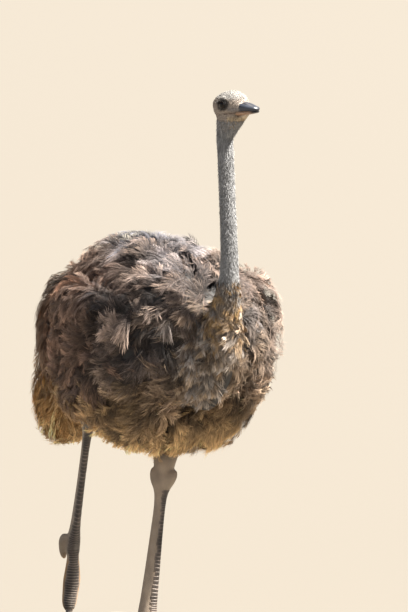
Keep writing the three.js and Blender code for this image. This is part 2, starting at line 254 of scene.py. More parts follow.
# the bird's form, in mm: it faces -y, its left is +x
headForm = {
    "place": (6, -521, 1849),
    "yaw": 12,  # degrees to its left
    "pitch": 7,  # degrees up
    "eyeOut": 36.5,
    "eyeRadius": 19.5,
    "eyeDepth": 12,
    "downDepth": 1.5,
    "skull": [
        [0, 66, -9, 14, 12, 20],
        [0, 57, -7, 30, 26, 35],
        [0, 40, -5, 39, 38, 42],
        [0, 18, -4, 43.5, 45, 42],
        [0, -4, -4, 44.5, 47, 40],
        [0, -22, -6, 42.5, 43, 36],
        [0, -36, -9, 39.5, 35, 30],
        [0, -49, -13, 32, 22, 24],
        [0, -62, -17, 27, 13, 18],
        [0, -72, -20, 18, 7, 11],
    ],
    "throat": [
        [0, -74, -33, 12, 6, 6],
        [0, -46, -43.5, 18, 10, 10],
        [0, -12, -62, 23, 15, 16],
        [0, 12, -84, 24, 14, 18],
        [0, 28, -104, 20, 10, 14],
    ],
}
yaw, pitch = math.radians(headForm["yaw"]), math.radians(-headForm["pitch"])
headTurn = np.array([
    [math.cos(yaw), -math.sin(yaw), 0],
    [math.sin(yaw), math.cos(yaw), 0],
    [0, 0, 1],
]) @ np.array([
    [1, 0, 0],
    [0, math.cos(pitch), -math.sin(pitch)],
    [0, math.sin(pitch), math.cos(pitch)],
])
headPlace = np.array(headForm["place"]) * mm


def fromHead(points):
    # head frame, metres, to the bird's frame
    return points @ headTurn.T + headPlace


def toHead(points):
    return (points - headPlace) @ headTurn


def onHead(shell):
    points, quads, caps = shell
    return fromHead(points), quads, caps


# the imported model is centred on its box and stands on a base, so the bird's frame is shifted by
# what the base says; the bird's own soles are at z = 0 before the shift
standForm = {"middle": (-4, 50), "size": (370, 720), "thick": 16, "gap": 0.35, "corner": 110, "edge": 1.5}
baseLow, baseHigh = (np.array(v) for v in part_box("stand_base"))
shift = (baseLow + baseHigh) / 2
shift[:2] -= np.array(standForm["middle"]) * mm
shift[2] = baseHigh[2] + standForm["gap"] * mm
print("shift from the bird's frame", shift)

neckForm = {
    "downDepth": 4,
    "rows": [
        [6, -512, 1864, 30, 36, 48],
        [5, -511, 1808, 40, 48, 60],
        [3, -501, 1778, 34, 34, 46],
        [1, -492, 1753, 30, 29, 33],
        [0, -491, 1728, 28.5, 28, 29],
        [0, -493, 1700, 27.5, 28, 28.5],
        [0, -499, 1625, 27.5, 28, 28],
        [0, -506, 1530, 28, 28, 29],
        [0, -513, 1430, 29, 29, 30],
        [0, -517, 1335, 31, 31, 32],
        [0, -508, 1245, 38.5, 38, 38],
        [0, -480, 1160, 54, 52, 48],
        [0, -430, 1085, 78, 84, 68],
        [0, -368, 1012, 94, 128, 92],
        [0, -280, 930, 92, 138, 110],
    ],
}
bodyForm = {
    "plumeDepth": 0.05,
    "trunk": [
        [0, 548, 1000, 50, 50, 60],
        [0, 490, 1005, 116, 122, 135],
        [0, 385, 1015, 172, 200, 222],
        [0, 245, 1025, 220, 278, 296],
        [0, 85, 1035, 258, 340, 340],
        [0, -75, 1032, 288, 362, 345],
        [0, -200, 1020, 306, 350, 338],
        [0, -300, 1000, 298, 300, 322],
        [0, -385, 978, 244, 208, 284],
        [0, -440, 955, 112, 85, 152],
    ],
    "rightWing": [
        [-212, 215, 995, 30, 70, 80],
        [-240, 135, 1005, 50, 150, 155],
        [-268, 20, 1020, 72, 220, 222],
        [-284, -100, 1038, 78, 248, 248],
        [-282, -215, 1052, 78, 232, 244],
        [-256, -310, 1060, 74, 170, 188],
        [-215, -365, 1068, 52, 95, 105],
    ],
    "tail": [
        [-6, 464, 624, 50, 28, 34],
        [-8, 492, 668, 98, 50, 64],
        [-6, 506, 750, 126, 62, 90],
        [-2, 500, 850, 132, 68, 100],
        [0, 474, 950, 130, 70, 90],
        [0, 428, 1040, 122, 72, 85],
        [0, 345, 1100, 100, 72, 75],
    ],
}
legForm = {
    "left": {
        "knee": (74, -84, 960),
        "ankle": (43, -52, 576),
        "foot": (-29, -54, 74),
        "out": 39,
        "outer": 1,
        "thigh": [[-0.1, 90], [0.2, 116], [0.5, 96], [0.72, 66], [0.88, 50], [1.0, 45]],
    },
    "right": {
        "knee": (-150, -110, 900),
        "ankle": (-81, 217, 752),
        "foot": (-75, 348, 265),
        "out": -21,
        "outer": -1,
        "thigh": [[0.1, 110], [0.4, 122], [0.65, 108], [0.85, 78], [1.0, 48], [1.08, 36]],
    },
    # share from ankle to the joint above the toes, half width, half depth in front and behind
    "shank": [
        [-0.05, 33, 46, 43],
        [0.0, 36, 50, 47],
        [0.05, 32, 42, 42],
        [0.12, 20, 25, 26],
        [0.22, 15.5, 21, 21],
        [0.4, 14.5, 23, 23],
        [0.6, 15, 27, 26],
        [0.82, 18, 31, 30],
        [0.94, 25, 34, 33],
        [1.0, 26, 30, 29],
    ],
    # steps ahead, outward and height, then half width, over and under
    "leftToes": {
        "inner": [
            [-34, 0, 62, 20, 22, 24],
            [-8, 0, 60, 33, 34, 40],
            [26, 0, 46, 33, 30, 46],
            [66, -1, 33, 31, 25, 36],
            [106, -2, 29, 30, 22, 32],
            [142, -3, 26, 29, 20, 28],
            [172, -4, 20, 24, 17, 22],
            [190, -5, 16, 15, 11, 17],
        ],
        "outer": [
            [2, 18, 54, 18, 18, 22],
            [30, 34, 36, 19, 17, 30],
            [60, 50, 24, 18, 15, 25],
            [90, 66, 19, 16, 13, 20],
            [116, 80, 14, 11, 9, 15],
        ],
        "claw": [
            [168, -4, 24, 13, 7, 9],
            [196, -5, 20, 14, 7, 11],
            [222, -6, 12, 10, 5, 8],
            [244, -7, 5, 4, 3, 4],
        ],
    },
    "rightToes": {
        "inner": [
            [-6, 0, 296, 18, 18, 18],
            [0, 0, 268, 27, 29, 32],
            [2, -1, 234, 22, 24, 27],
            [0, 0, 196, 26, 22, 27],
            [-2, 3, 150, 31, 22, 30],
            [-2, 8, 108, 29, 20, 30],
            [2, 13, 70, 26, 18, 25],
            [5, 14, 38, 18, 13, 17],
        ],
        "outer": [
            [0, 20, 312, 15, 16, 18],
            [-8, 29, 290, 18, 19, 20],
            [-20, 30, 262, 16, 16, 18],
            [-36, 26, 236, 13, 12, 14],
            [-48, 20, 216, 8, 8, 9],
        ],
        "claw": [
            [6, 14, 64, 12, 7, 8],
            [12, 15, 38, 12, 7, 10],
            [16, 16, 16, 11, 6, 10],
            [20, 17, -14, 8, 6, 8],
        ],
    },
}


def mirrored(rows):
    return [[-row[0]] + row[1:] for row in rows]


def heading(out):
    # the leg's forward direction and the direction across it, on the floor plane
    turn = math.radians(out)
    return np.array([math.sin(turn), -math.cos(turn), 0]), np.array([math.cos(turn), math.sin(turn), 0])


def legRows(leg, rows, start, end):
    # rows given by a share of the way from start to end
    start, end = np.array(leg[start], float), np.array(leg[end], float)
    return [list(start + (end - start) * row[0]) + list(row[1:]) for row in rows]


def toeRows(side, part):
    leg = legForm[side]
    ahead, across = heading(leg["out"])
    rows = []
    for a, o, h, *size in legForm[side + "Toes"][part]:
        place = np.array(leg["foot"]) + ahead * a + across * o * leg["outer"]
        rows.append([place[0], place[1], h] + size)
    return rows


# shader parts
def newMaterial(name, roughness):
    material = bpy.data.materials.new(name)
    material.use_nodes = True
    tree = material.node_tree
    principled = tree.nodes["Principled BSDF"]
    principled.inputs["Roughness"].default_value = roughness
    return material, tree, principled


def addNode(tree, kind, **values):
    node = tree.nodes.new(kind)
    for key, value in values.items():
        if hasattr(node, key):
            setattr(node, key, value)
        else:
            node.inputs[key.replace("_", " ")].default_value = value
    return node


def buildGrainGroup():
    # fine mottling: two noises of Object coordinates as one value about 1, and their height
    group = bpy.data.node_groups.new("fineMottle", "ShaderNodeTree")
    for name, low in (("Scale", 200.0), ("Strength", 0.3)):
        socket = group.interface.new_socket(name, in_out="INPUT", socket_type="NodeSocketFloat")
        socket.default_value = low
    for name in ("Gain", "Height"):
        group.interface.new_socket(name, in_out="OUTPUT", socket_type="NodeSocketFloat")
    enter, leave = group.nodes.new("NodeGroupInput"), group.nodes.new("NodeGroupOutput")
    where = group.nodes.new("ShaderNodeTexCoord")
    fine = addNode(group, "ShaderNodeTexNoise", Detail=3.0, Roughness=0.6)
    broad = addNode(group, "ShaderNodeTexNoise", Detail=2.0, Scale=23.0)
    group.links.new(where.outputs["Object"], fine.inputs["Vector"])
    group.links.new(where.outputs["Object"], broad.inputs["Vector"])
    group.links.new(enter.outputs["Scale"], fine.inputs["Scale"])
    both = addNode(group, "ShaderNodeMath", operation="ADD")
    group.links.new(fine.outputs["Fac"], both.inputs[0])
    group.links.new(broad.outputs["Fac"], both.inputs[1])
    centred = addNode(group, "ShaderNodeMath", operation="SUBTRACT")
    centred.inputs[1].default_value = 1.0
    group.links.new(both.outputs[0], centred.inputs[0])
    gain = addNode(group, "ShaderNodeMath", operation="MULTIPLY_ADD")
    gain.inputs[2].default_value = 1.0
    group.links.new(centred.outputs[0], gain.inputs[0])
    group.links.new(enter.outputs["Strength"], gain.inputs[1])
    group.links.new(gain.outputs[0], leave.inputs["Gain"])
    group.links.new(fine.outputs["Fac"], leave.inputs["Height"])
    return group


def buildScaleGroup():
    # small leg scales: a Voronoi's distance to its cell edge, as a dark line mask and a height
    group = bpy.data.node_groups.new("legScales", "ShaderNodeTree")
    socket = group.interface.new_socket("Scale", in_out="INPUT", socket_type="NodeSocketFloat")
    socket.default_value = 300.0
    for name in ("Line", "Height"):
        group.interface.new_socket(name, in_out="OUTPUT", socket_type="NodeSocketFloat")
    enter, leave = group.nodes.new("NodeGroupInput"), group.nodes.new("NodeGroupOutput")
    where = group.nodes.new("ShaderNodeTexCoord")
    cells = addNode(group, "ShaderNodeTexVoronoi", feature="DISTANCE_TO_EDGE")
    group.links.new(where.outputs["Object"], cells.inputs["Vector"])
    group.links.new(enter.outputs["Scale"], cells.inputs["Scale"])
    rim = addNode(group, "ShaderNodeMapRange", From_Min=0.0, From_Max=0.16)
    group.links.new(cells.outputs["Distance"], rim.inputs["Value"])
    group.links.new(rim.outputs["Result"], leave.inputs["Line"])
    group.links.new(rim.outputs["Result"], leave.inputs["Height"])
    return group


fineMottle, legScales = buildGrainGroup(), buildScaleGroup()


def placeGroup(tree, group, **values):
    node = tree.nodes.new("ShaderNodeGroup")
    node.node_tree = group
    for key, value in values.items():
        node.inputs[key].default_value = value
    return node


def tintedBase(tree, principled, attribute, gain):
    # the piece's own colour attribute times a value that changes over the surface
    colour = addNode(tree, "ShaderNodeAttribute", attribute_name=attribute)
    times = addNode(tree, "ShaderNodeVectorMath", operation="MULTIPLY")
    spread = tree.nodes.new("ShaderNodeCombineXYZ")
    for k in range(3):
        tree.links.new(gain, spread.inputs[k])
    tree.links.new(colour.outputs["Color"], times.inputs[0])
    tree.links.new(spread.outputs[0], times.inputs[1])
    tree.links.new(times.outputs[0], principled.inputs["Base Color"])


def addBump(tree, principled, height, strength, distance):
    bump = addNode(tree, "ShaderNodeBump", Strength=strength, Distance=distance)
    tree.links.new(height, bump.inputs["Height"])
    tree.links.new(bump.outputs["Normal"], principled.inputs["Normal"])


def plumeMaterial():
    material, tree, principled = newMaterial("loosePlumes", 0.72)
    principled.inputs["Specular IOR Level"].default_value = 0.3
    principled.inputs["Sheen Weight"].default_value = 0.05
    grain = placeGroup(tree, fineMottle, Scale=420.0, Strength=0.55)
    tintedBase(tree, principled, "coatColour", grain.outputs["Gain"])
    return material


def downMaterial():
    material, tree, principled = newMaterial("shortDown", 0.8)
    principled.inputs["Specular IOR Level"].default_value = 0.2
    principled.inputs["Sheen Weight"].default_value = 0.35
    principled.inputs["Sheen Roughness"].default_value = 0.4
    grain = placeGroup(tree, fineMottle, Scale=300.0, Strength=0.3)
    tintedBase(tree, principled, "coatColour", grain.outputs["Gain"])
    return material


def skinMaterial():
    # skin of head, neck, body and legs: colour from the markings, leg scales where scaly is 1
    material, tree, principled = newMaterial("birdSkin", 0.62)
    grain = placeGroup(tree, fineMottle, Scale=260.0, Strength=0.35)
    scales = placeGroup(tree, legScales, Scale=380.0)
    scaly = addNode(tree, "ShaderNodeAttribute", attribute_name="scaly")
    line = addNode(tree, "ShaderNodeMapRange", From_Min=0.0, From_Max=1.0, To_Min=0.84, To_Max=1.04)
    tree.links.new(scales.outputs["Line"], line.inputs["Value"])
    lineShare = addNode(tree, "ShaderNodeMix", data_type="FLOAT")
    lineShare.inputs[2].default_value = 1.0
    tree.links.new(scaly.outputs["Fac"], lineShare.inputs[0])
    tree.links.new(line.outputs["Result"], lineShare.inputs[3])
    gain = addNode(tree, "ShaderNodeMath", operation="MULTIPLY")
    tree.links.new(grain.outputs["Gain"], gain.inputs[0])
    tree.links.new(lineShare.outputs[0], gain.inputs[1])
    tintedBase(tree, principled, "skinColour", gain.outputs[0])
    height = addNode(tree, "ShaderNodeMix", data_type="FLOAT")
    tree.links.new(scaly.outputs["Fac"], height.inputs[0])
    tree.links.new(grain.outputs["Height"], height.inputs[2])
    tree.links.new(scales.outputs["Height"], height.inputs[3])
    addBump(tree, principled, height.outputs[0], 0.4, 0.0009)
    return material


def hornMaterial(name, roughness):
    material, tree, principled = newMaterial(name, roughness)
    grain = placeGroup(tree, fineMottle, Scale=500.0, Strength=0.4)
    tintedBase(tree, principled, "hornColour", grain.outputs["Gain"])
    addBump(tree, principled, grain.outputs["Height"], 0.25, 0.0006)
    return material


def standMaterial():
    # matt painted board with a faint brushed grain
    material, tree, principled = newMaterial("paintedBoard", 0.6)
    where = tree.nodes.new("ShaderNodeTexCoord")
    grain = addNode(tree, "ShaderNodeTexNoise", Scale=60.0, Detail=4.0)
    stretch = addNode(tree, "ShaderNodeMapping", Scale=(1.0, 0.06, 1.0))
    tree.links.new(where.outputs["Object"], stretch.inputs["Vector"])
    tree.links.new(stretch.outputs["Vector"], grain.inputs["Vector"])
    ramp = tree.nodes.new("ShaderNodeValToRGB")
    ramp.color_ramp.elements[0].color = (0.30, 0.27, 0.23, 1)
    ramp.color_ramp.elements[1].color = (0.40, 0.365, 0.31, 1)
    tree.links.new(grain.outputs["Fac"], ramp.inputs["Fac"])
    tree.links.new(ramp.outputs["Color"], principled.inputs["Base Color"])
    addBump(tree, principled, grain.outputs["Fac"], 0.2, 0.0004)
    return material


def eyeMaterial():
    # dark pupil, brown iris with fine rays, and a wet clear coat
    material, tree, principled = newMaterial("wetEye", 0.12)
    principled.inputs["Specular IOR Level"].default_value = 0.16
    principled.inputs["Coat Weight"].default_value = 0.12
    principled.inputs["Coat Roughness"].default_value = 0.03
    radial = addNode(tree, "ShaderNodeAttribute", attribute_name="fromPupil")
    ramp = tree.nodes.new("ShaderNodeValToRGB")
    stops = ((0.0, (0.003, 0.003, 0.004, 1)), (0.5, (0.004, 0.003, 0.003, 1)), (0.56, (0.010, 0.005, 0.003, 1)),
             (0.82, (0.018, 0.009, 0.004, 1)), (0.95, (0.005, 0.004, 0.004, 1)))
    while len(ramp.color_ramp.elements) < len(stops):
        ramp.color_ramp.elements.new(0.5)
    for element, (place, colour) in zip(ramp.color_ramp.elements, stops):
        element.position, element.color = place, colour
    grain = placeGroup(tree, fineMottle, Scale=700.0, Strength=0.5)
    times = addNode(tree, "ShaderNodeMath", operation="MULTIPLY")
    tree.links.new(radial.outputs["Fac"], times.inputs[0])
    tree.links.new(grain.outputs["Gain"], times.inputs[1])
    mixed = addNode(tree, "ShaderNodeMix", data_type="FLOAT")
    mixed.inputs[0].default_value = 0.06
    tree.links.new(radial.outputs["Fac"], mixed.inputs[2])
    tree.links.new(times.outputs[0], mixed.inputs[3])
    tree.links.new(mixed.outputs[0], ramp.inputs["Fac"])
    tree.links.new(ramp.outputs["Color"], principled.inputs["Base Color"])
    return material


materials = {
    "plume": plumeMaterial(),
    "down": downMaterial(),
    "skin": skinMaterial(),
    "bill": hornMaterial("billHorn", 0.42),
    "scute": hornMaterial("legScutes", 0.5),
    "claw": hornMaterial("clawHorn", 0.45),
    "lash": hornMaterial("lashBristle", 0.5),
    "eye": eyeMaterial(),
    "stand": standMaterial(),
}
print("materials made")

# skin
skinForm = {
    "headVoxel": 0.0021,
    "neckVoxel": 0.0045,
    "legVoxel": 0.0036,
    "bodyVoxel": 0.016,
    "legInset": 0.0012,
}


def ridge(side, start, end, out, thick, rise):
    # half ring round an eye, in the head's frame
    turn = np.radians(np.linspace(start, end, 7))
    reach = headForm["eyeRadius"] + rise
    full = np.sin(math.pi * (np.arange(7) + 0.6) / 7.2) * thick
    rows = np.stack([np.full(7, side * out), -np.cos(turn) * reach, np.sin(turn) * reach * 0.86, full, full, full], 1)
    return onHead(sweep(rows, rings=16, sides=12, ends=(0.2, 0.2), inset=0.0))


def lidReach(h):
    # 1 on the edge of the eye's opening, growing outwards; h is in mm in the head's frame
    return np.sqrt((h[:, 1] / 14.5) ** 2 + ((h[:, 2] + 1 + 0.06 * h[:, 1]) / 10.5) ** 2)


def shapeEye(p, side):
    # opens the lids: inside an almond the skin drops behind the eyeball, round it lie a thick upper
    # and a thinner lower lid with fine folds
    h = toHead(p)
    y, z = h[:, 1] / mm, h[:, 2] / mm
    reach = lidReach(h / mm)
    mine = (h[:, 0] * side > 0.022) & (reach < 2.3)
    ball = headForm["eyeOut"] + headForm["eyeDepth"] * np.sqrt(np.maximum(
        0.02, 1 - (y ** 2 + z ** 2) / headForm["eyeRadius"] ** 2))
    thick = 1.4 + 1.6 * smooth(-2, 5, z)
    margin = ball + 1.0 + thick * np.exp(-(((reach - 1.16) / 0.15) ** 2))
    margin += 0.55 * np.sin(reach * 26) * (1 - smooth(1.3, 2.1, reach)) * smooth(1.15, 1.35, reach)
    now = h[:, 0] * side / mm
    keep = smooth(1.35, 2.15, reach)
    wanted = np.where(reach < 1.0, headForm["eyeOut"] - 3.0, margin * (1 - keep) + now * keep)
    h[mine, 0] = side * wanted[mine] * mm
    return np.where(mine[:, None], fromHead(h), p)


def shapeHead(made):
    # socket, gape line, ear opening and fine creases
    p = pointsOf(made)
    for side in (1, -1):
        p = shapeEye(p, side)
    h = toHead(p)
    y, z = h[:, 1] / mm, h[:, 2] / mm
    n = unit(normalsOf(made))
    gape = np.exp(-(((z + 28.0 + 0.02 * y) / 1.9) ** 2)) * smooth(-60, -40, y) * (1 - smooth(4, 14, y))
    ear = np.exp(-(((y - 29) / 5) ** 2 + ((z + 33) / 6.5) ** 2)) * smooth(0.02, 0.03, np.abs(h[:, 0]))
    rim = np.exp(-(((np.hypot(y - 29, (z + 33) * 0.8) - 8.5) / 2.4) ** 2)) * smooth(0.02, 0.03, np.abs(h[:, 0]))
    folds = 0.35 * np.sin(z * 0.9 + 0.12 * y) * np.exp(-((y + 4) / 16) ** 2 - ((z + 22) / 7) ** 2)
    depth = -1.9 * gape - 5.0 * ear + 1.1 * rim + folds
    setPoints(made, p + n * depth[:, None] * mm)


def makeSkin():
    skull = onHead(sweep(headForm["skull"], 50, 48, ends=(0.16, 0.2), square=2.2, inset=headForm["downDepth"] * mm))
    throat = onHead(sweep(headForm["throat"], 30, 28, ends=(0.15, 0.1), inset=0.002))
    neckRows = neckForm["rows"]
    collar = neckRows[:8]
    ridges = [ridge(side, 8, 172, 37.5, 7.5, 3) for side in (1, -1)]
    ridges += [ridge(side, 190, 350, 36, 5, 1.5) for side in (1, -1)]
    upper = sweep(collar, 60, 40, ends=(0.06, 0.02), inset=neckForm["downDepth"] * mm)
    head = fuse("head skin", [skull, throat, upper] + ridges, skinForm["headVoxel"])
    relax(head, 14, lambda p: 1.0 - 0.6 * np.exp(-((np.abs(toHead(p)[:, 2] - 0.016) / 0.01) ** 2)))
    shapeHead(head)
    relax(head, 2)
    whole = np.array(neckRows, float)
    neck = fuse("neck skin", [sweep(whole, 150, 44, ends=(0.06, 0.02), inset=neckForm["downDepth"] * mm + 0.0004)],
                skinForm["neckVoxel"])
    relax(neck, 2)
    legs = []
    for side in ("left", "right"):
        leg = legForm[side]
        across = heading(leg["out"])[1]
        inset = skinForm["legInset"]
        shank = sweep(legRows(leg, legForm["shank"], "ankle", "foot"), 80, 32, across, (0.05, 0.04), inset=inset)
        thighRows = [row + [row[-1], row[-1]] for row in legRows(leg, leg["thigh"], "knee", "ankle")]
        thigh = sweep(thighRows, 30, 32, across, (0.15, 0.02), inset=0.012)
        inner = sweep(toeRows(side, "inner"), 50, 30, across, (0.12, 0.12), inset=inset)
        outer = sweep(toeRows(side, "outer"), 34, 24, across, (0.12, 0.16), inset=inset)
        made = fuse(side + " leg skin", [shank, thigh, inner, outer], skinForm["legVoxel"])
        relax(made, 6)
        legs.append(made)
    depth = bodyForm["plumeDepth"]
    trunk = sweep(bodyForm["trunk"], 50, 56, ends=(0.08, 0.08), square=2.9, inset=depth)
    rightWing = sweep(bodyForm["rightWing"], 30, 30, ends=(0.1, 0.1), square=2.7, inset=depth * 0.8)
    leftWing = sweep(mirrored(bodyForm["rightWing"]), 30, 30, ends=(0.1, 0.1), square=2.7, inset=depth * 0.8)
    tail = sweep(bodyForm["tail"], 30, 30, ends=(0.1, 0.1), inset=depth * 0.9)
    body = fuse("skin", [trunk, rightWing, leftWing, tail], skinForm["bodyVoxel"])
    relax(body, 10)
    shells = [
        sweep(bodyForm["trunk"], 50, 56, ends=(0.08, 0.08), square=2.9),
        sweep(bodyForm["rightWing"], 30, 30, ends=(0.1, 0.1), square=2.7),
        sweep(mirrored(bodyForm["rightWing"]), 30, 30, ends=(0.1, 0.1), square=2.7),
        sweep(bodyForm["tail"], 30, 30, ends=(0.1, 0.1)),
    ]
    for side in ("left", "right"):
        leg = legForm[side]
        thighRows = [row + [row[-1], row[-1]] for row in legRows(leg, leg["thigh"], "knee", "ankle")]
        shells.append(sweep(thighRows, 30, 32, heading(leg["out"])[1], (0.15, 0.02)))
    hull = fuse("hull", shells, 0.018)
    relax(hull, 3)
    hullField = pointsOf(hull), normalsOf(hull)
    bpy.data.objects.remove(hull)
    coatBase = pointsOf(body), normalsOf(body), trianglesOf(body)
    unite(body, [neck, head] + legs)
    p = pointsOf(body)
    p[:, 2] = np.maximum(p[:, 2], 0.0004)
    setPoints(body, p)
    return body, coatBase, hullField


def trianglesOf(made):
    made.data.calc_loop_triangles()
    t = np.empty(len(made.data.loop_triangles) * 3, np.int32)
    made.data.loop_triangles.foreach_get("vertices", t)
    return t.reshape(-1, 3)


skin, coatBase, hullField = makeSkin()
print("skin", len(skin.data.vertices), "points", len(trianglesOf(skin)), "triangles")

# markings, shared by skin and coat
tones = {
    "crown": (0.43, 0.41, 0.385),
    "face": (0.34, 0.285, 0.24),
    "throat": (0.46, 0.36, 0.24),
    "lid": (0.013, 0.011, 0.011),
    "lore": (0.17, 0.17, 0.19),
    "gape": (0.10, 0.06, 0.045),
    "neck": (0.19, 0.19, 0.192),
    "neckBase": (0.20, 0.14, 0.085),
    # under: near black, painted shade for the body skin inside the plumage
    "under": (0.012, 0.010, 0.0095),
    "leg": (0.34, 0.27, 0.205),
    "legDark": (0.16, 0.125, 0.10),
    "shin": (0.38, 0.28, 0.20),
    # the pads' own tone warmed by painted light bounced up from the ground
    "soleWarmBounce": (0.44, 0.245, 0.10),
}
tones = {key: np.array(value) for key, value in tones.items()}
neckLine = np.array(neckForm["rows"])[:, :3] * mm


def neckShare(p):
    # distance to the neck's own line and the share of its length
    return nearestOnPath(p, neckLine)


def headTone(h):
    # pale crown, buff cheeks and throat, dark lids and brow, flesh-coloured corner of the gape
    y, z = h[:, 1], h[:, 2]
    tone = blend(tones["face"], tones["crown"], smooth(12, 24, z - 0.12 * y + 2.5 * waves(h, 14, 61)))
    tone = blend(tone, tones["throat"], smooth(-34, -48, z) * (y < -5))
    lid = (1 - smooth(1.3, 2.15, lidReach(h))) * (np.abs(h[:, 0]) > 18)
    tone = blend(tone, tones["lid"], 0.95 * lid)
    lore = np.exp(-(((z + 14 - 0.1 * y) / 7) ** 2)) * smooth(-12, -26, y) * (np.abs(h[:, 0]) > 10)
    tone = blend(tone, tones["lore"], 0.6 * lore)
    gape = np.exp(-(((z + 29.5) / 2.6) ** 2)) * (1 - smooth(-4, 14, y)) * (np.abs(h[:, 0]) > 14)
    tone = blend(tone, tones["gape"], 0.8 * gape)
    fleck = 0.10 * waves(h, 9, 62) - 0.34 * smooth(0.5, 1.3, waves(h, 5, 63)) * smooth(4, 18, z)
    return tone * (1 + fleck)[:, None]


def skinMarkings(p):
    # body skin painted near black under the plumes as the shade inside the plumage, neck and head pale, legs
    # grey-brown; edges follow the neck and legs
    gap = neckShare(p)[0]
    colour = np.tile(tones["under"], (len(p), 1))
    onNeck = (1 - smooth(0.075, 0.12, gap)) * smooth(0.9, 1.06, p[:, 2])
    neck = blend(tones["neck"], tones["neckBase"], smooth(1.29, 1.2, p[:, 2]))
    colour = blend(colour, neck, onNeck)
    onHeadShare = smooth(1.74, 1.79, p[:, 2])
    face = headTone(toHead(p) / mm)
    colour = blend(colour, face, onHeadShare)
    low = 1 - smooth(0.60, 0.68, p[:, 2])
    legs = blend(tones["leg"], tones["legDark"], np.clip(0.2 + 0.16 * waves(p, 0.05, 3), 0, 1))
    streaks = np.clip(0.45 + 0.5 * waves(p * np.array([1, 1, 0.12]), 0.008, 4), 0, 1)
    high = np.where(p[:, 1] > 0.15, smooth(0.76, 0.82, p[:, 2]), smooth(0.59, 0.66, p[:, 2]))
    legs = blend(legs, tones["shin"], high * streaks)
    raised = p[:, 1] > 0.2
    # warm orange low on the standing foot and on the raised foot's pads: their own tone plus painted light bounced up
    # from the ground
    soleWarmBounce = (1 - smooth(0.012, 0.03, p[:, 2])) * ~raised
    pad = (1 - smooth(0.20, 0.25, p[:, 2])) * np.clip(0.75 + 0.3 * waves(p, 0.03, 6), 0, 1)
    legs = blend(legs, tones["soleWarmBounce"], np.where(raised, pad, soleWarmBounce))
    rear = (p[:, 1] > 0.2) & (p[:, 2] < 0.735) & (np.abs(p[:, 0] + 0.08) < 0.07)
    onLegs = np.where(rear, 1 - smooth(0.70, 0.735, p[:, 2]), low)
    return blend(colour, legs, onLegs), onLegs


skinColour, scaly = skinMarkings(pointsOf(skin))
addColour(skin, "skinColour", skinColour)
addValue(skin, "scaly", scaly)
flesh = ["trunk", "head", "tail", "neck_upper", "neck_middle", "neck_lower"]
for side in ("left", "right"):
    flesh += [part + side for part in ("wing_", "ear_", "thigh_", "shank_", "foot_", "outer_toe_")]
finishPiece(skin, materials["skin"], flesh)
print("skin marked")


# eyes, bill and claws
def makeEye(side, name):
    # an ellipsoid of latitude and longitude, its axis pointing sideways
    lat = np.linspace(0, math.pi, 41)[:, None]
    lon = np.linspace(0, 2 * math.pi, 48, endpoint=False)[None]
    x = headForm["eyeDepth"] * np.cos(lat) * np.ones_like(lon)
    y = headForm["eyeRadius"] * np.sin(lat) * np.cos(lon)
    z = headForm["eyeRadius"] * np.sin(lat) * np.sin(lon)
    grid = np.stack([x, y, z], -1)[1:-1].reshape(-1, 3)
    ends = np.array([[headForm["eyeDepth"], 0, 0], [-headForm["eyeDepth"], 0, 0]])
    local = np.vstack([ends[:1], grid, ends[1:]])
    radial = np.hypot(local[:, 1], local[:, 2]) / (headForm["eyeRadius"] * 0.66)
    local[:, 0] = side * (headForm["eyeOut"] + local[:, 0])
    rings, sides = 39, 48
    r, s = np.meshgrid(np.arange(rings - 1), np.arange(sides), indexing="ij")
    a, b = 1 + r * sides + s, 1 + r * sides + (s + 1) % sides
    quads = np.stack([a, a + sides, b + sides, b], -1).reshape(-1, 4)
    s = np.arange(sides)
    last = 1 + (rings - 1) * sides
    caps = np.vstack([
        np.stack([np.zeros_like(s), 1 + s, 1 + (s + 1) % sides], -1),
        np.stack([last + (s + 1) % sides, last + s, np.full_like(s, len(local) - 1)], -1),
    ])
    if side < 0:
        quads, caps = quads[:, ::-1], caps[:, ::-1]
    eye = makeMesh(name, fromHead(local * mm), quads, caps)
    addValue(eye, "fromPupil", radial)
    return finishPiece(eye, materials["eye"], ["eye_left" if side > 0 else "eye_right"])


billForm = {
    "upper": [
        [0, -34, -13, 23, 12, 12.4],
        [0, -48, -13.5, 27, 15.5, 12.6],
        [0, -62, -15.5, 27.5, 16.8, 11.1],
        [0, -77, -18, 25, 14, 8.9],
        [0, -91, -20.5, 20.8, 10.5, 6.8],
        [0, -103, -23, 16.3, 7.5, 5.6],
        [0, -112, -26, 9.5, 5, 5.8],
    ],
    "lower": [
        [0, -34, -30.4, 25, 4.6, 9],
        [0, -52, -30.7, 26.5, 4.6, 8.4],
        [0, -70, -30.9, 24.8, 4.4, 7.2],
        [0, -87, -31.1, 20.4, 4.2, 5.8],
        [0, -101, -31.1, 15.6, 3.4, 4.6],
        [0, -109, -31.2, 9.5, 2.4, 3],
    ],
    "slate": (0.036, 0.042, 0.056),
    "dark": (0.016, 0.016, 0.019),
    "edge": (0.13, 0.11, 0.10),
    "flesh": (0.30, 0.185, 0.12),
}


def cutEdge(p, rows, under):
    # gives a half of the bill a sharp rim: near its biting face points move out to the full width
    rows = np.array(rows, float)[::-1]
    middle, wide, tall = (np.interp(p[:, 1], rows[:, 1], rows[:, k]) for k in (2, 3, 5 if under else 4))
    towards = np.clip((middle - p[:, 2]) * (1 if under else -1) / tall, 0, 1)
    aside = np.abs(p[:, 0])
    push = smooth(0.3, 0.9, towards) * smooth(0.35, 0.75, aside / wide) * smooth(-111, -104, p[:, 1])
    p[:, 0] = np.sign(p[:, 0]) * (aside + np.maximum(0.96 * wide - aside, 0) * push)


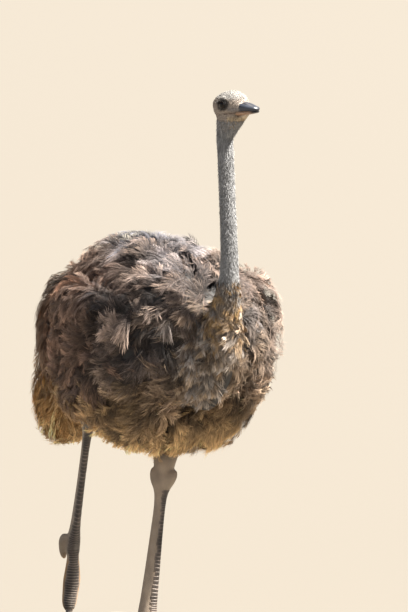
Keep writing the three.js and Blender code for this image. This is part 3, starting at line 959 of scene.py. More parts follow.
def makeBill():
    # culmen ridge, nostril slot and a nail at the tip on the upper half; a keel groove below
    tone = {key: np.array(billForm[key]) for key in ("slate", "dark", "edge", "flesh")}
    points, quads, caps = sweep(billForm["upper"], 90, 72, ends=(0.03, 0.16), square=2.3)
    p = points / mm
    cutEdge(p, billForm["upper"], True)
    aside = np.abs(p[:, 0])
    culmen = 1.3 * np.exp(-((aside / 5.5) ** 2)) * smooth(-112, -92, p[:, 1]) * (p[:, 2] > -18)
    above = smooth(-17, -13, p[:, 2])
    nostril = np.exp(-(((aside - 15) / 3.0) ** 2 + ((p[:, 1] + 67) / 9.5) ** 2)) * above
    lip = np.exp(-(((aside - 18.2) / 2.2) ** 2 + ((p[:, 1] + 67) / 11) ** 2)) * above
    nail = np.exp(-(((p[:, 1] + 104) / 6.5) ** 2)) * smooth(-30, -22, p[:, 2])
    p[:, 2] += culmen - 3.8 * nostril + 0.9 * lip + 0.9 * nail
    p[:, 0] += np.sign(p[:, 0]) * (0.6 * lip - 1.2 * nostril)
    # painted shade: the nostril slot darker than the slate around it
    colour = blend(tone["slate"], tone["dark"], np.clip(nostril * 1.6, 0, 1))
    colour = blend(colour, tone["edge"], 0.55 * (1 - smooth(-27, -22, p[:, 2])) * smooth(-100, -70, p[:, 1]))
    colour = blend(colour, tone["edge"], 0.4 * np.exp(-(((aside - 9) / 3.5) ** 2)) * above)
    colour = blend(colour, tone["dark"], np.clip(0.6 * smooth(-104, -111, p[:, 1]) + 0.35 * culmen, 0, 1))
    upper = makeMesh("billUpper", fromHead(p * mm), quads, caps)
    addColour(upper, "hornColour", colour)
    finishPiece(upper, materials["bill"], ["bill_upper"])
    points, quads, caps = sweep(billForm["lower"], 70, 60, ends=(0.03, 0.16), square=2.3)
    p = points / mm
    cutEdge(p, billForm["lower"], False)
    keel = np.exp(-((p[:, 0] / 4.5) ** 2)) * (p[:, 2] < -33)
    p[:, 2] += 0.8 * keel
    colour = blend(tone["dark"], tone["flesh"], smooth(-106, -84, p[:, 1]))
    colour = blend(colour, tone["edge"], 0.3 * keel)
    lower = makeMesh("billLower", fromHead(p * mm), quads, caps)
    addColour(lower, "hornColour", colour)
    finishPiece(lower, materials["bill"], ["bill_lower"])


clawForm = {"dark": (0.10, 0.085, 0.075), "pale": (0.22, 0.185, 0.15), "rings": 0.014}


def makeClaw(side):
    # a blunt nail with growth rings, flat where it meets the floor
    across = heading(legForm[side]["out"])[1]
    p, quads, caps = sweep(toeRows(side, "claw"), 50, 32, across, (0.1, 0.25))
    centre = p.mean(0)
    rings = 1 + clawForm["rings"] * np.sin(np.linalg.norm(p - centre, axis=1) * 2400)
    p = centre + (p - centre) * rings[:, None]
    p[:, 2] = np.maximum(p[:, 2], 0.0002)
    claw = makeMesh(side + "Claw", p, quads, caps)
    tip = np.linalg.norm(p - np.array(toeRows(side, "claw")[0][:3]) * mm, axis=1) / 0.08
    dark, pale = np.array(clawForm["dark"]), np.array(clawForm["pale"])
    addColour(claw, "hornColour", blend(dark, pale, np.clip(tip, 0, 1)))
    finishPiece(claw, materials["claw"], ["claw_" + side])


makeEye(1, "leftEye")
makeEye(-1, "rightEye")
makeBill()
makeClaw("left")
makeClaw("right")


def makeStand():
    # rounded board with a small rounded edge: outline offset inwards and upwards along a quarter circle
    wide, long = (np.array(standForm["size"]) / 2 - standForm["corner"])
    turn = np.radians(np.arange(0, 360, 5) + 2.5)
    c, n = np.cos(turn), np.sin(turn)
    edge = standForm["edge"]
    steps = [(edge, 0.0)]
    steps += [(edge * (1 - math.sin(a)), edge * (1 - math.cos(a))) for a in np.linspace(0.3, math.pi / 2, 5)]
    steps += [(s[0], standForm["thick"] - s[1]) for s in reversed(steps)]
    rings = []
    for inwards, height in steps:
        reach = standForm["corner"] - inwards
        x = np.sign(c) * wide + c * reach + standForm["middle"][0]
        y = np.sign(n) * long + n * reach + standForm["middle"][1]
        rings.append(np.stack([x, y, np.full(72, height - standForm["thick"] - standForm["gap"])], 1))
    points = np.vstack(rings) * mm
    r, s = np.meshgrid(np.arange(len(steps) - 1), np.arange(72), indexing="ij")
    a, b = r * 72 + s, r * 72 + (s + 1) % 72
    quads = np.stack([a, b, b + 72, a + 72], -1).reshape(-1, 4)
    lid = np.arange(72)[None]
    board = makeMesh("standBoard", points, quads, lid[:, ::-1], lid + 72 * (len(steps) - 1))
    finishPiece(board, materials["stand"], ["stand_base"], soft=False)


makeStand()
print("eyes, bill, claws and stand made")

# scutes on shanks and toes
scuteForm = {
    "pitch": 9.0,  # mm from one scute to the next
    "spread": 64,  # degrees to each side of the front
    "lift": 0.8,
    "colour": (0.045, 0.036, 0.032),
    "edge": (0.26, 0.205, 0.165),
}


def scuteRow(rows, across, first, last, spread, seed, pitch):
    # plates along a sweep: each a grid over part of the section, crowned and overlapping the next
    rows = np.array(rows, float) * mm
    rng = np.random.default_rng(seed)
    length = np.linalg.norm(np.diff(between(rows, np.linspace(first, last, 60))[:, :3], axis=0), axis=1).sum()
    count = max(3, int(length / (pitch * mm)))
    step = (last - first) / count
    u, v = np.meshgrid(np.linspace(0, 1, 6), np.linspace(-1, 1, 11), indexing="ij")
    points, faces, tint = [], [], []
    base = 0
    for k in range(count):
        share = first + step * (k - 0.06 + 1.14 * u + 0.05 * np.sin(3 * v + k))
        at = between(rows, share.reshape(-1))
        along = unit(between(rows, share.reshape(-1) + 0.01)[:, :3] - between(rows, share.reshape(-1) - 0.01)[:, :3])
        side = unit(across - along * (along @ across)[:, None])
        over = np.cross(along, side)
        turn = math.pi / 2 + np.radians(spread * (1 + 0.08 * rng.normal())) * v.reshape(-1)
        swell = np.sin(math.pi * np.clip(u.reshape(-1) * 0.92 + 0.08, 0, 1)) ** 0.6
        crown = (1 - np.abs(v.reshape(-1)) ** 4) * (0.35 + 0.65 * swell)
        rise = (scuteForm["lift"] * crown * (1 - 0.25 * u.reshape(-1)) - 1.1) * mm
        c, n = np.cos(turn), np.sin(turn)
        tall = np.where(n > 0, at[:, 4], at[:, 5])
        outside = at[:, :3] + side * ((at[:, 3] + rise) * c)[:, None] + over * ((tall + rise) * n)[:, None]
        inside = at[:, :3] + side * ((at[:, 3] - 0.0035) * c)[:, None] + over * ((tall - 0.0035) * n)[:, None]
        i, j = np.meshgrid(np.arange(5), np.arange(10), indexing="ij")
        a = i * 11 + j
        top = np.stack([a, a + 1, a + 12, a + 11], -1).reshape(-1, 4)
        size = 66
        rim = np.concatenate([np.arange(0, 11), np.arange(21, 66, 11), np.arange(64, 54, -1), np.arange(44, 0, -11)])
        following = np.roll(rim, -1)
        wall = np.stack([rim, rim + size, following + size, following], -1)
        points.append(np.vstack([outside, inside]))
        faces.append(np.vstack([top, top[:, ::-1] + size, wall]) + base)
        edge = np.maximum(np.abs(v.reshape(-1)) ** 6, (2 * np.abs(u.reshape(-1) - 0.5)) ** 5) * 0.9
        tint.append(np.tile(np.clip(edge, 0, 1) * rng.uniform(0.8, 1.1), 2))
        base += 2 * size
    return np.vstack(points), np.vstack(faces), np.concatenate(tint)


def makeScutes(side):
    leg = legForm[side]
    across = heading(leg["out"])[1]
    shank = legRows(leg, legForm["shank"], "ankle", "foot")
    start = 0.30 if side == "left" else 0.12
    parts = [scuteRow(shank, across, start, 0.97, scuteForm["spread"], 11, scuteForm["pitch"])]
    parts.append(scuteRow(toeRows(side, "inner"), across, 0.14, 0.93, 58, 12, 8.5))
    if side == "left":
        parts.append(scuteRow(toeRows(side, "outer"), across, 0.25, 0.9, 55, 13, 7.5))
    points, faces, tint, base = [], [], [], 0
    for p, f, t in parts:
        points.append(p)
        faces.append(f + base)
        tint.append(t)
        base += len(p)
    points = np.vstack(points)
    points[:, 2] = np.maximum(points[:, 2], 0.001)
    made = makeMesh(side + "Scutes", points, np.vstack(faces))
    colour = blend(np.array(scuteForm["colour"]), np.array(scuteForm["edge"]), np.concatenate(tint))
    addColour(made, "hornColour", colour * (1 + 0.25 * waves(points, 0.06, 21))[:, None])
    finishPiece(made, materials["scute"])


makeScutes("left")
makeScutes("right")
print("scutes made")


# coat
def scatter(points, normals, triangles, keep, count, seed):
    # roots spread evenly by area: faces in the order of a space-filling key, one root per equal step
    a, b, c = (points[triangles[:, k]] for k in range(3))
    middle = (a + b + c) / 3
    area = np.linalg.norm(np.cross(b - a, c - a), axis=1) / 2 * keep(middle)
    cell = np.floor((middle - middle.min(0)) / 0.012).astype(np.int64)
    key = np.zeros(len(cell), np.int64)
    for bit in range(8):
        for k in range(3):
            key |= ((cell[:, k] >> bit) & 1) << (3 * bit + k)
    order = np.argsort(key, kind="stable")
    total = np.cumsum(area[order])
    rng = np.random.default_rng(seed)
    mark = (np.arange(count) + rng.uniform(0, 1, count)) / count * total[-1]
    face = order[np.minimum(np.searchsorted(total, mark), len(order) - 1)]
    r, s = rng.uniform(size=(2, count))
    flip = r + s > 1
    r[flip], s[flip] = 1 - r[flip], 1 - s[flip]
    weight = np.stack([1 - r - s, r, s], 1)[..., None]
    corner = triangles[face]
    return (points[corner] * weight).sum(1), unit((normals[corner] * weight).sum(1))


def flowOnBody(p, n):
    # lie of the plumes: away from the foot of the neck in front, back over the top, down and back
    # on the sides, down on the rump
    fromNeck = p - np.array([0, -0.40, 1.20])
    front = np.exp(-((np.linalg.norm(fromNeck, axis=1) / 0.30) ** 2))[:, None]
    rear = smooth(0.22, 0.45, p[:, 1])
    f = np.zeros_like(p)
    f[:, 1] = 1 - 0.55 * rear
    f[:, 2] = -0.5 - 0.9 * rear - 0.5 * smooth(-0.2, -0.45, p[:, 1])
    f = unit(f) * (1 - front) + unit(fromNeck) * front * 1.4
    f -= n * (f * n).sum(1, keepdims=True)
    return unit(f)


def nearestCentre(p, centres):
    # index of each point's nearest centre
    best = np.full(len(p), np.inf)
    index = np.zeros(len(p), int)
    for k in range(0, len(centres), 400):
        part = centres[k:k + 400]
        gap = ((p ** 2).sum(1)[:, None] - 2 * p @ part.T + (part ** 2).sum(1)[None])
        near = gap.argmin(1)
        value = gap[np.arange(len(p)), near]
        closer = value < best
        best[closer] = value[closer]
        index[closer] = near[closer] + k
    return index


def outsideHull(p):
    # signed distance beyond the outline of the plumage, along the normal of its nearest point
    points, normals = hullField
    near = nearestCentre(p, points)
    return ((p - points[near]) * normals[near]).sum(1), normals[near]


def unwrapBody(p):
    # unwrap of the trunk as a tube about its long axis: angle round it and place along it
    turn = np.arctan2(p[:, 0], p[:, 2] - 1.02) / (2 * math.pi) + 0.5
    return np.stack([turn, (p[:, 1] + 0.55) / 1.2], 1)


def unwrapNeck(p):
    # unwrap of the neck as a tube about its own line
    share = nearestOnPath(p, neckLine)[1]
    middle = np.array([np.interp(share, np.linspace(0, 1, len(neckLine)), neckLine[:, k]) for k in range(3)]).T
    turn = np.arctan2(p[:, 0] - middle[:, 0], -(p[:, 1] - middle[:, 1])) / (2 * math.pi) + 0.5
    return np.stack([turn, share], 1)


def addBakeMap(made, rootPlace, patch, perTuft):
    # each tuft is a patch 0.003 across at its root's place on the unwrap
    low, high = rootPlace.min(0), rootPlace.max(0)
    root = 0.01 + 0.975 * (rootPlace - low) / np.maximum(high - low, 1e-9)
    place = np.repeat(root, perTuft, axis=0) + 0.003 * patch
    layer = made.data.uv_layers.new(name="OFBake")
    corner = np.empty(len(made.data.loops), np.int32)
    made.data.loops.foreach_get("vertex_index", corner)
    layer.data.foreach_set("uv", place[corner].astype(np.float32).reshape(-1))


def plumeTemplate(barbs):
    # one plume: a shaft of three quads and slender kites for barbs; each row holds the share along
    # the shaft, side, share along the barb, edge and barb number
    rows, faces = [], []
    for t in (0.0, 0.38, 0.72, 1.0):
        rows += [[t, 0, 0, -1, 0], [t, 0, 0, 1, 0]]
    for k in range(3):
        faces.append([2 * k, 2 * k + 1, 2 * k + 3, 2 * k + 2])
    number = 0
    for side in (-1, 1):
        for k in range(barbs):
            t = 0.1 + 0.9 * ((k + 0.5 * (side > 0) + 0.5) / (barbs + 0.5)) ** 0.85
            base = len(rows)
            number += 1
            rows += [[t, side, u, edge, number] for u, edge in ((0.0, 0), (0.5, -1), (1.0, 0), (0.5, 1))]
            faces.append([base, base + 1, base + 2, base + 3])
    return np.array(rows), np.array(faces), number


def spot(p, centre, size):
    # 1 at a place and its mirror image, falling off as a bell in x, y and z
    gap = (np.stack([np.abs(p[:, 0]), p[:, 1], p[:, 2]], 1) - centre) / size
    return np.exp(-(gap ** 2).sum(1))


def trimAt(p):
    # metres by which the coat stays inside the outline: high on the flanks and low beside the breast;
    # less than nothing at the belly's lower corners, which are fuller
    flank = 0.016 * spot(p, (0.33, 0.02, 1.17), (0.1, 0.16, 0.13))
    flank = flank + 0.014 * spot(p, (0.27, -0.28, 0.93), (0.1, 0.14, 0.09))
    return flank - 0.022 * spot(p, (0.25, -0.2, 0.76), (0.09, 0.15, 0.07))


def growPlumes(name, root, normal, flow, look, rootPlace, colour, seed, calm=0.0, scale=1.0):
    # shaft: root + length * (flow t cos a + normal (t sin a - curl t^2) + aside bend t^2) + drop; each
    # clump is domed and fans out from its middle; barbs curve from their angle towards the tip
    rng = np.random.default_rng(seed)
    count = len(root)
    template, faces, barbCount = plumeTemplate(look["barbs"])
    centres = root[rng.choice(count, max(4, int(count / look["clump"])), replace=False)]
    clump = nearestCentre(root, centres)
    own = rng.normal(size=(count, 6))
    shared = rng.normal(size=(len(centres), 6))[clump]
    wild = 1 - calm * np.ones(count)
    scale = scale * np.ones(count)
    length = look["length"] * scale * (1 + 0.14 * own[:, 0] + 0.14 * shared[:, 0]) * (1.35 - 0.35 * wild)
    lift = look["lift"] * (0.4 + 0.6 * wild) + look["liftSpread"] * shared[:, 1] * wild + 5 * own[:, 1]
    lift = np.radians(np.clip(lift, -4, 75))
    turn = np.radians(look["yaw"] * shared[:, 2] * (0.15 + 0.85 * wild) + look["ownYaw"] * own[:, 2])
    curl = look["curl"] * (1 + 0.4 * shared[:, 3]) * (0.3 + 0.7 * wild)
    bend = look["bend"] * (shared[:, 4] + 0.5 * own[:, 4]) * (0.25 + 0.75 * wild)
    offset = root - centres[clump]
    offset -= normal * (offset * normal).sum(1, keepdims=True)
    radius = 1.9 * np.linalg.norm(offset, axis=1).mean()
    rim = np.clip(np.linalg.norm(offset, axis=1) / radius, 0, 1)
    root = root + normal * (look["dome"] * 0.7 * (1 - rim ** 2) * wild)[:, None]
    flow = unit(flow + look["fan"] * wild[:, None] * offset / radius)
    aside = np.cross(normal, flow)
    flow = unit(flow * np.cos(turn)[:, None] + aside * np.sin(turn)[:, None])
    flow = unit(flow - normal * (flow * normal).sum(1, keepdims=True))
    aside = np.cross(normal, flow)
    roll = np.radians(look["roll"] * (own[:, 5] + 0.8 * shared[:, 5]))[:, None, None]
    pull = offset * look["gather"]
    ahead, outwards, sideways = flow[:, None], normal[:, None], aside[:, None]
    reachOut, rise = length[:, None, None], lift[:, None, None]
    curlBack, bendOff = curl[:, None, None], bend[:, None, None]
    down = np.array([0, 0, -1.0]) * look["drop"]

    def shaftAt(t):
        way = ahead * t * np.cos(rise) + outwards * (t * np.sin(rise) - curlBack * t ** 2)
        way = way + sideways * bendOff * t ** 2 + down * t ** 2
        return root[:, None] + reachOut * way - pull[:, None] * t

    # where the shaft would leave the outline, it is pressed back to lie along it
    marks = np.array([0.0, 0.35, 0.7, 1.0])
    tries = shaftAt(marks[None, 1:, None])
    beyond, outward = outsideHull(tries.reshape(-1, 3))
    room = look["room"] + 0.003 * own[:, 3:4] - trimAt(root)[:, None]
    beyond, outward = beyond.reshape(count, 3), outward.reshape(count, 3, 3)
    press = np.zeros((count, 4, 3))
    press[:, 1:] = -outward * np.maximum(beyond - room, 0)[..., None]

    t, side, u, edge = (template[:, k][None, :, None] for k in range(4))
    number = template[:, 4].astype(int)
    low = np.clip(np.searchsorted(marks, template[:, 0], side="right") - 1, 0, 2)
    step = marks[low + 1] - marks[low]
    part = ((template[:, 0] - marks[low]) / step)[None, :, None]
    shaft = shaftAt(t) + press[:, low] * (1 - part) + press[:, low + 1] * part
    slope = (press[:, low + 1] - press[:, low]) / step[None, :, None] / reachOut
    tangent = ahead * np.cos(rise) + outwards * (np.sin(rise) - 2 * curlBack * t)
    tangent = unit(tangent + 2 * sideways * bendOff * t + 2 * down * t + slope)
    across = unit(np.cross(outwards, tangent))
    up = np.cross(tangent, across)
    across, up = across * np.cos(roll) + up * np.sin(roll), up * np.cos(roll) - across * np.sin(roll)

    jitter = rng.normal(size=(count, barbCount + 1, 3))[:, number]
    angle = np.radians(look["barbAngle"] * (1.25 - 0.6 * t[..., 0]) * (0.55 + 0.45 * wild[:, None])
                       + 8 * jitter[..., 0])[..., None]
    fullness = (0.45 + 0.55 * np.sin(math.pi * np.clip(t * 0.9 + 0.1, 0, 1) ** 0.9)) * (1 + 0.2 * jitter[..., 1:2])
    reach = look["width"] * scale[:, None, None] * fullness * (1 + 0.15 * own[:, :1, None])
    hook = look["hook"]
    out = side * across * np.sin(angle) * (u - hook * u ** 2) + tangent * (np.cos(angle) * u + hook * u ** 2)
    out = out + up * (look["cup"] * u ** 2 + 0.12 * jitter[..., 2:3] * u)
    widthwise = np.where(side == 0, across, tangent * np.sin(angle) - side * across * np.cos(angle))
    blade = np.where(side == 0, look["shaft"] * (1 - 0.7 * t), look["barb"]) * np.sqrt(scale)[:, None, None]
    points = shaft + reach * out * (side != 0) + widthwise * edge * blade
    mark = np.clip(np.searchsorted(marks, template[:, 0] + 0.17, side="right") - 1, 1, 3) - 1
    level = ((points - tries[:, mark]) * outward[:, mark]).sum(2) + beyond[:, mark] - room - 0.004
    points = points - outward[:, mark] * np.maximum(level, 0)[..., None] * 0.9
    points = points.reshape(-1, 3)
    points[:, 2] = np.maximum(points[:, 2], 0.004)

    rootTone, tipTone = colour
    # blend from the dark root tone, painted shade deep in the coat, to the tip tone along shaft and barb
    shade = np.clip(template[:, 0] * 0.66 + template[:, 2] * 0.42, 0, 1)[None, :] ** look["tipPower"]
    tone = rootTone[:, None] * (1 - shade[..., None]) + tipTone[:, None] * shade[..., None]
    tone = tone * (1 + 0.24 * jitter[..., 1:2] + 0.14 * own[:, 3, None, None] + 0.24 * shared[:, 5, None, None])
    # painted shade in the gaps between clumps: plumes darker towards the clump's rim
    tone = np.maximum(tone, 0.01) * (1 - look["rimShade"] * (rim ** 2 * wild))[:, None, None]
    every = np.arange(count)[:, None, None] * len(template) + faces[None]
    made = makeMesh(name, points, every.reshape(-1, 4))
    addColour(made, "coatColour", tone.reshape(-1, 3))
    patch = np.stack([
        0.5 + 0.42 * template[:, 1] * template[:, 2] + 0.06 * template[:, 3] * (template[:, 1] == 0),
        0.8 * template[:, 0] + 0.12 * template[:, 2] + 0.05 * template[:, 3] * (template[:, 1] != 0),
    ], 1)
    addBakeMap(made, rootPlace, np.tile(patch, (count, 1)), len(template))
    return finishPiece(made, materials["plume"], soft=False)


# the root tones, far darker than the tips, are painted shade deep inside the coat
plumeTones = {
    "back": (0.285, 0.28, 0.305),
    "backRoot": (0.032, 0.031, 0.038),
    "flank": (0.50, 0.365, 0.29),
    "flankRoot": (0.020, 0.018, 0.021),
    "side": (0.42, 0.255, 0.175),
    "sideRoot": (0.032, 0.022, 0.018),
    "calm": (0.50, 0.345, 0.27),
    "calmRoot": (0.09, 0.060, 0.047),
    # breast, belly and tail tips: their own warm brown, brightened and made golden by painted light bounced up from the
    # ground
    "breast": (0.82, 0.61, 0.43),
    "breastRoot": (0.09, 0.063, 0.045),
    "belly": (0.90, 0.60, 0.29),
    "bellyRoot": (0.16, 0.10, 0.052),
    "rump": (0.36, 0.22, 0.14),
    "rumpRoot": (0.035, 0.022, 0.015),
    "tail": (0.72, 0.42, 0.17),
    "tailRoot": (0.032, 0.019, 0.011),
    "slate": (0.105, 0.115, 0.155),
    "pale": (0.37, 0.385, 0.43),
}
plumeTones = {key: np.array(value) for key, value in plumeTones.items()}
coneLine = np.array([  # place and radius, metres
    (0, -0.52, 1.31, 0.05), (0, -0.50, 1.20, 0.085), (-0.022, -0.49, 1.12, 0.08),
    (-0.055, -0.475, 1.06, 0.066), (-0.085, -0.45, 0.97, 0.052), (-0.095, -0.43, 0.9, 0.03),
])


def coneReach(p):
    # 1 at the edge of the ochre cone in which the neck runs out over the breast, less inside it
    gap, share = nearestOnPath(p, coneLine[:, :3])
    return gap / np.interp(share, np.linspace(0, 1, len(coneLine)), coneLine[:, 3])


def calmAt(p):
    # 1 where the plumes lie smooth: high on each shoulder, and on the flanks behind the fold
    patch = np.clip(1.3 * spot(p, (0.27, -0.13, 1.29), (0.12, 0.17, 0.09)), 0, 1)
    patch = np.maximum(patch, smooth(-0.02, 0.12, p[:, 1]) * smooth(1.2, 1.3, p[:, 2]))
    flank = smooth(-0.26, -0.18, p[:, 1]) * (1 - smooth(1.22, 1.34, p[:, 2])) * smooth(0.12, 0.2, np.abs(p[:, 0]))
    return np.clip(np.maximum(patch, 0.8 * flank), 0, 1)


def foldAt(p):
    # the line where the loose shoulder plumes end over the smooth flank
    line = np.exp(-(((p[:, 1] + 0.245 + 0.02 * np.sin(9 * p[:, 2])) / 0.016) ** 2))
    return line * (np.abs(p[:, 0]) > 0.2) * (p[:, 2] < 1.2)


def bodyMarkings(p):
    # root and tip colour of a plume by its place: grey on the back, brown on flanks, golden below, partly their own
    # warm brown and partly painted light bounced up from the ground
    ripple = waves(p, 0.2, 32)
    parts = {
        "side": smooth(-0.27, -0.2, p[:, 1]) * (1 - smooth(1.24, 1.36, p[:, 2])),
        "rump": smooth(0.10, 0.3, p[:, 1]) * smooth(0.8, 0.95, p[:, 2]),
        "back": smooth(1.27, 1.38, p[:, 2] + 0.04 * waves(p, 0.25, 31)),
        "belly": 1 - smooth(0.76, 1.0, p[:, 2] + 0.04 * ripple),
        "breast": np.exp(-((np.abs(p[:, 0]) / 0.2) ** 2)) * smooth(-0.2, -0.34, p[:, 1])
        * (1 - smooth(1.1, 1.25, p[:, 2])) * smooth(0.84, 0.95, p[:, 2]),
        "calm": np.clip(1.3 * spot(p, (0.27, -0.13, 1.29), (0.12, 0.17, 0.08)), 0, 1),
    }
    tip = np.tile(plumeTones["flank"], (len(p), 1))
    root = np.tile(plumeTones["flankRoot"], (len(p), 1))
    for part in ("side", "rump", "back", "belly", "breast", "calm"):
        tip = blend(tip, plumeTones[part], parts[part])
        root = blend(root, plumeTones[part + "Root"], parts[part])
    # painted shade: bluish slate patches, darker spots in the hollows on the right shoulder and on both sides of the
    # neck's foot
    slate = smooth(0.3, 1.5, waves(p, 0.17, 35)) * (1 - parts["belly"]) * (1 - parts["rump"]) * (1 - parts["calm"])
    paintedShading = spot(p, (0.302, -0.29, 1.225), (0.07, 0.08, 0.05))
    paintedShading = paintedShading + 0.8 * spot(p, (0.21, -0.43, 1.085), (0.07, 0.07, 0.045))
    paintedShading *= p[:, 0] < 0
    paintedShading += 0.8 * spot(p, (0.116, -0.463, 1.112), (0.05, 0.06, 0.045)) * (p[:, 0] > 0)
    paintedShading = np.clip(paintedShading * 1.8, 0, 1)
    tip = blend(tip, plumeTones["slate"], np.clip(0.45 * slate + 0.8 * paintedShading, 0, 1))
    streaks = spot(p, (0.122, -0.446, 1.162), (0.05, 0.07, 0.03)) + spot(p, (0.23, -0.408, 1.134), (0.06, 0.07, 0.025))
    tip = blend(tip, plumeTones["pale"], np.clip(streaks * smooth(-0.6, 0.8, waves(p, 0.05, 38)), 0, 0.6))
    # patchy also darkens as painted shade in the hollows and along the fold
    patchy = (1 + 0.14 * waves(p, 0.16, 33) + 0.12 * waves(p, 0.06, 34)) * (1 - 0.7 * paintedShading) * (1 - 0.6 * foldAt(p))
    return root * patchy[:, None], tip * patchy[:, None]


def isTail(p):
    return ((p[:, 1] > 0.36) & (p[:, 2] < 0.98)) | ((p[:, 1] > 0.40) & (p[:, 2] < 1.02))


def isRump(p):
    return (p[:, 1] > 0.16) & ~isTail(p)


# rimShade: how far each clump's rim is darkened as painted shade
messy = dict(barbs=16, clump=10, length=0.078, lift=38, liftSpread=14, yaw=58, ownYaw=14, curl=0.60, bend=0.42,
             gather=0.1, drop=0.05, barbAngle=46, width=0.029, hook=0.42, cup=-0.3, shaft=0.0008, barb=0.0009,
             tipPower=2.2, roll=24, room=0.005, dome=0.014, fan=0.45, rimShade=0.6)
smoothLook = dict(messy, clump=7, length=0.16, lift=12, liftSpread=6, yaw=9, ownYaw=6, curl=0.12, bend=0.12,
                  drop=0.08, barbAngle=22, width=0.048, gather=0.55, tipPower=1.2, roll=14, dome=0.004, fan=0.0,
                  cup=-0.15, rimShade=0.2)
coatPieces = {
    # name: (where, how many, look)
    "plumesBack": (lambda p: (p[:, 2] > 1.2) & (p[:, 1] <= 0.16), 2500, messy),
    "plumesBreast": (lambda p: (p[:, 2] <= 1.2) & (p[:, 1] < -0.26) & (p[:, 2] > 0.86), 2500,
                     dict(messy, lift=30, yaw=36, tipPower=1.7)),
    "plumesRightFlank": (lambda p: (p[:, 2] <= 1.2) & (p[:, 2] > 0.86) & (p[:, 0] < 0) & (p[:, 1] >= -0.26)
                         & (p[:, 1] <= 0.16), 2450, messy),
    "plumesLeftFlank": (lambda p: (p[:, 2] <= 1.2) & (p[:, 2] > 0.86) & (p[:, 0] >= 0) & (p[:, 1] >= -0.26)
                        & (p[:, 1] <= 0.16), 2450, messy),
    "plumesBelly": (lambda p: (p[:, 2] <= 0.86) & (p[:, 1] <= 0.16), 2500,
                    dict(messy, length=0.085, lift=20, yaw=26, drop=0.12, curl=0.25, clump=9, room=-0.002,
                         tipPower=1.6)),
    "plumesRump": (isRump, 2500, smoothLook),
    "plumesTail": (isTail, 1900, dict(smoothLook, lift=14, liftSpread=12, yaw=18, ownYaw=12, drop=0.12, bend=0.35,
                                     length=0.125, width=0.04, room=-0.004, rimShade=0.5)),
}


def growBodyCoat():
    points, normals, triangles = coatBase
    for k, (name, (where, count, look)) in enumerate(coatPieces.items()):
        root, normal = scatter(points, normals, triangles, lambda m: where(m).astype(float), count, 100 + k)
        clear = (coneReach(root) > 0.9) & (neckShare(root)[0] > 0.045)
        root, normal = root[clear], normal[clear]
        flow = flowOnBody(root, normal)
        lumps = 0.011 * waves(root, 0.15, 42) + 0.006 * waves(root, 0.06, 41) - 0.004
        lumps = lumps * (1 - 0.6 * calmAt(root)) - 0.014 * foldAt(root)
        lumps += 0.012 * np.exp(-(((root[:, 1] + 0.05) / 0.2) ** 2)) * smooth(1.28, 1.34, root[:, 2])
        root = root + normal * np.maximum(lumps, -0.001)[:, None]
        colour = bodyMarkings(root + flow * look["length"] * 0.5)  # the place that the plume covers
        # the tail's golden tone includes painted light bounced up from the ground
        if name == "plumesTail":
            patchy = (1 + 0.2 * waves(root, 0.05, 36) + 0.15 * waves(root, 0.2, 37))[:, None]
            colour = plumeTones["tailRoot"] * patchy, plumeTones["tail"] * patchy
        # painted shading: plumes rooted in dips darker, those on bumps lighter
        paintedShading = np.clip(1 + 20 * lumps, 0.45, 1.35)[:, None]
        colour = (colour[0] * paintedShading, colour[1] * paintedShading)
        scale = 1 - 0.45 * smooth(0.80, 0.66, root[:, 2]) * (name == "plumesTail")
        growPlumes(name, root, normal, flow, look, unwrapBody(root), colour, 200 + k, calmAt(root), scale)
        print(name, len(root), "plumes")


def growHem():
    # golden plumes that hang from the belly's edge, and long wisps that curl off the tail
    points, normals, triangles = coatBase
    belly = lambda p: ((p[:, 2] < 0.80) & (p[:, 1] < 0.2) & (p[:, 2] > 0.70)).astype(float)
    wisps = lambda p: ((p[:, 2] < 0.86) & (p[:, 1] > 0.40)).astype(float)
    hem = dict(smoothLook, length=0.075, lift=20, drop=0.4, room=0.004, width=0.03, barbs=12, bend=0.2, gather=0.7)
    long = dict(hem, length=0.2, lift=16, liftSpread=10, drop=0.2, bend=0.6, room=0.015, width=0.024,
                clump=4, gather=0.4)
    for name, where, count, look, seed in (("plumesHem", belly, 900, hem, 350), ("plumesWisps", wisps, 150, long, 360)):
        root, normal = scatter(points, normals, triangles, where, count, seed)
        flow = flowOnBody(root, normal)
        patchy = (1 + 0.2 * waves(root, 0.05, seed + 1))[:, None]
        # the belly's golden tones, with their painted light bounced up from the ground
        colour = plumeTones["bellyRoot"] * 1.3 * patchy, plumeTones["belly"] * 1.1 * patchy
        growPlumes(name, root, normal, flow, look, unwrapBody(root), colour, seed + 2)
        print(name, len(root), "plumes")


def ochreMottle(p):
    # share of ochre and of grey in the mottling at the foot of the neck
    return smooth(-0.6, 0.9, waves(p * np.array([1, 1, 0.6]), 0.035, 53)), smooth(0.2, 1.3, waves(p, 0.05, 54))


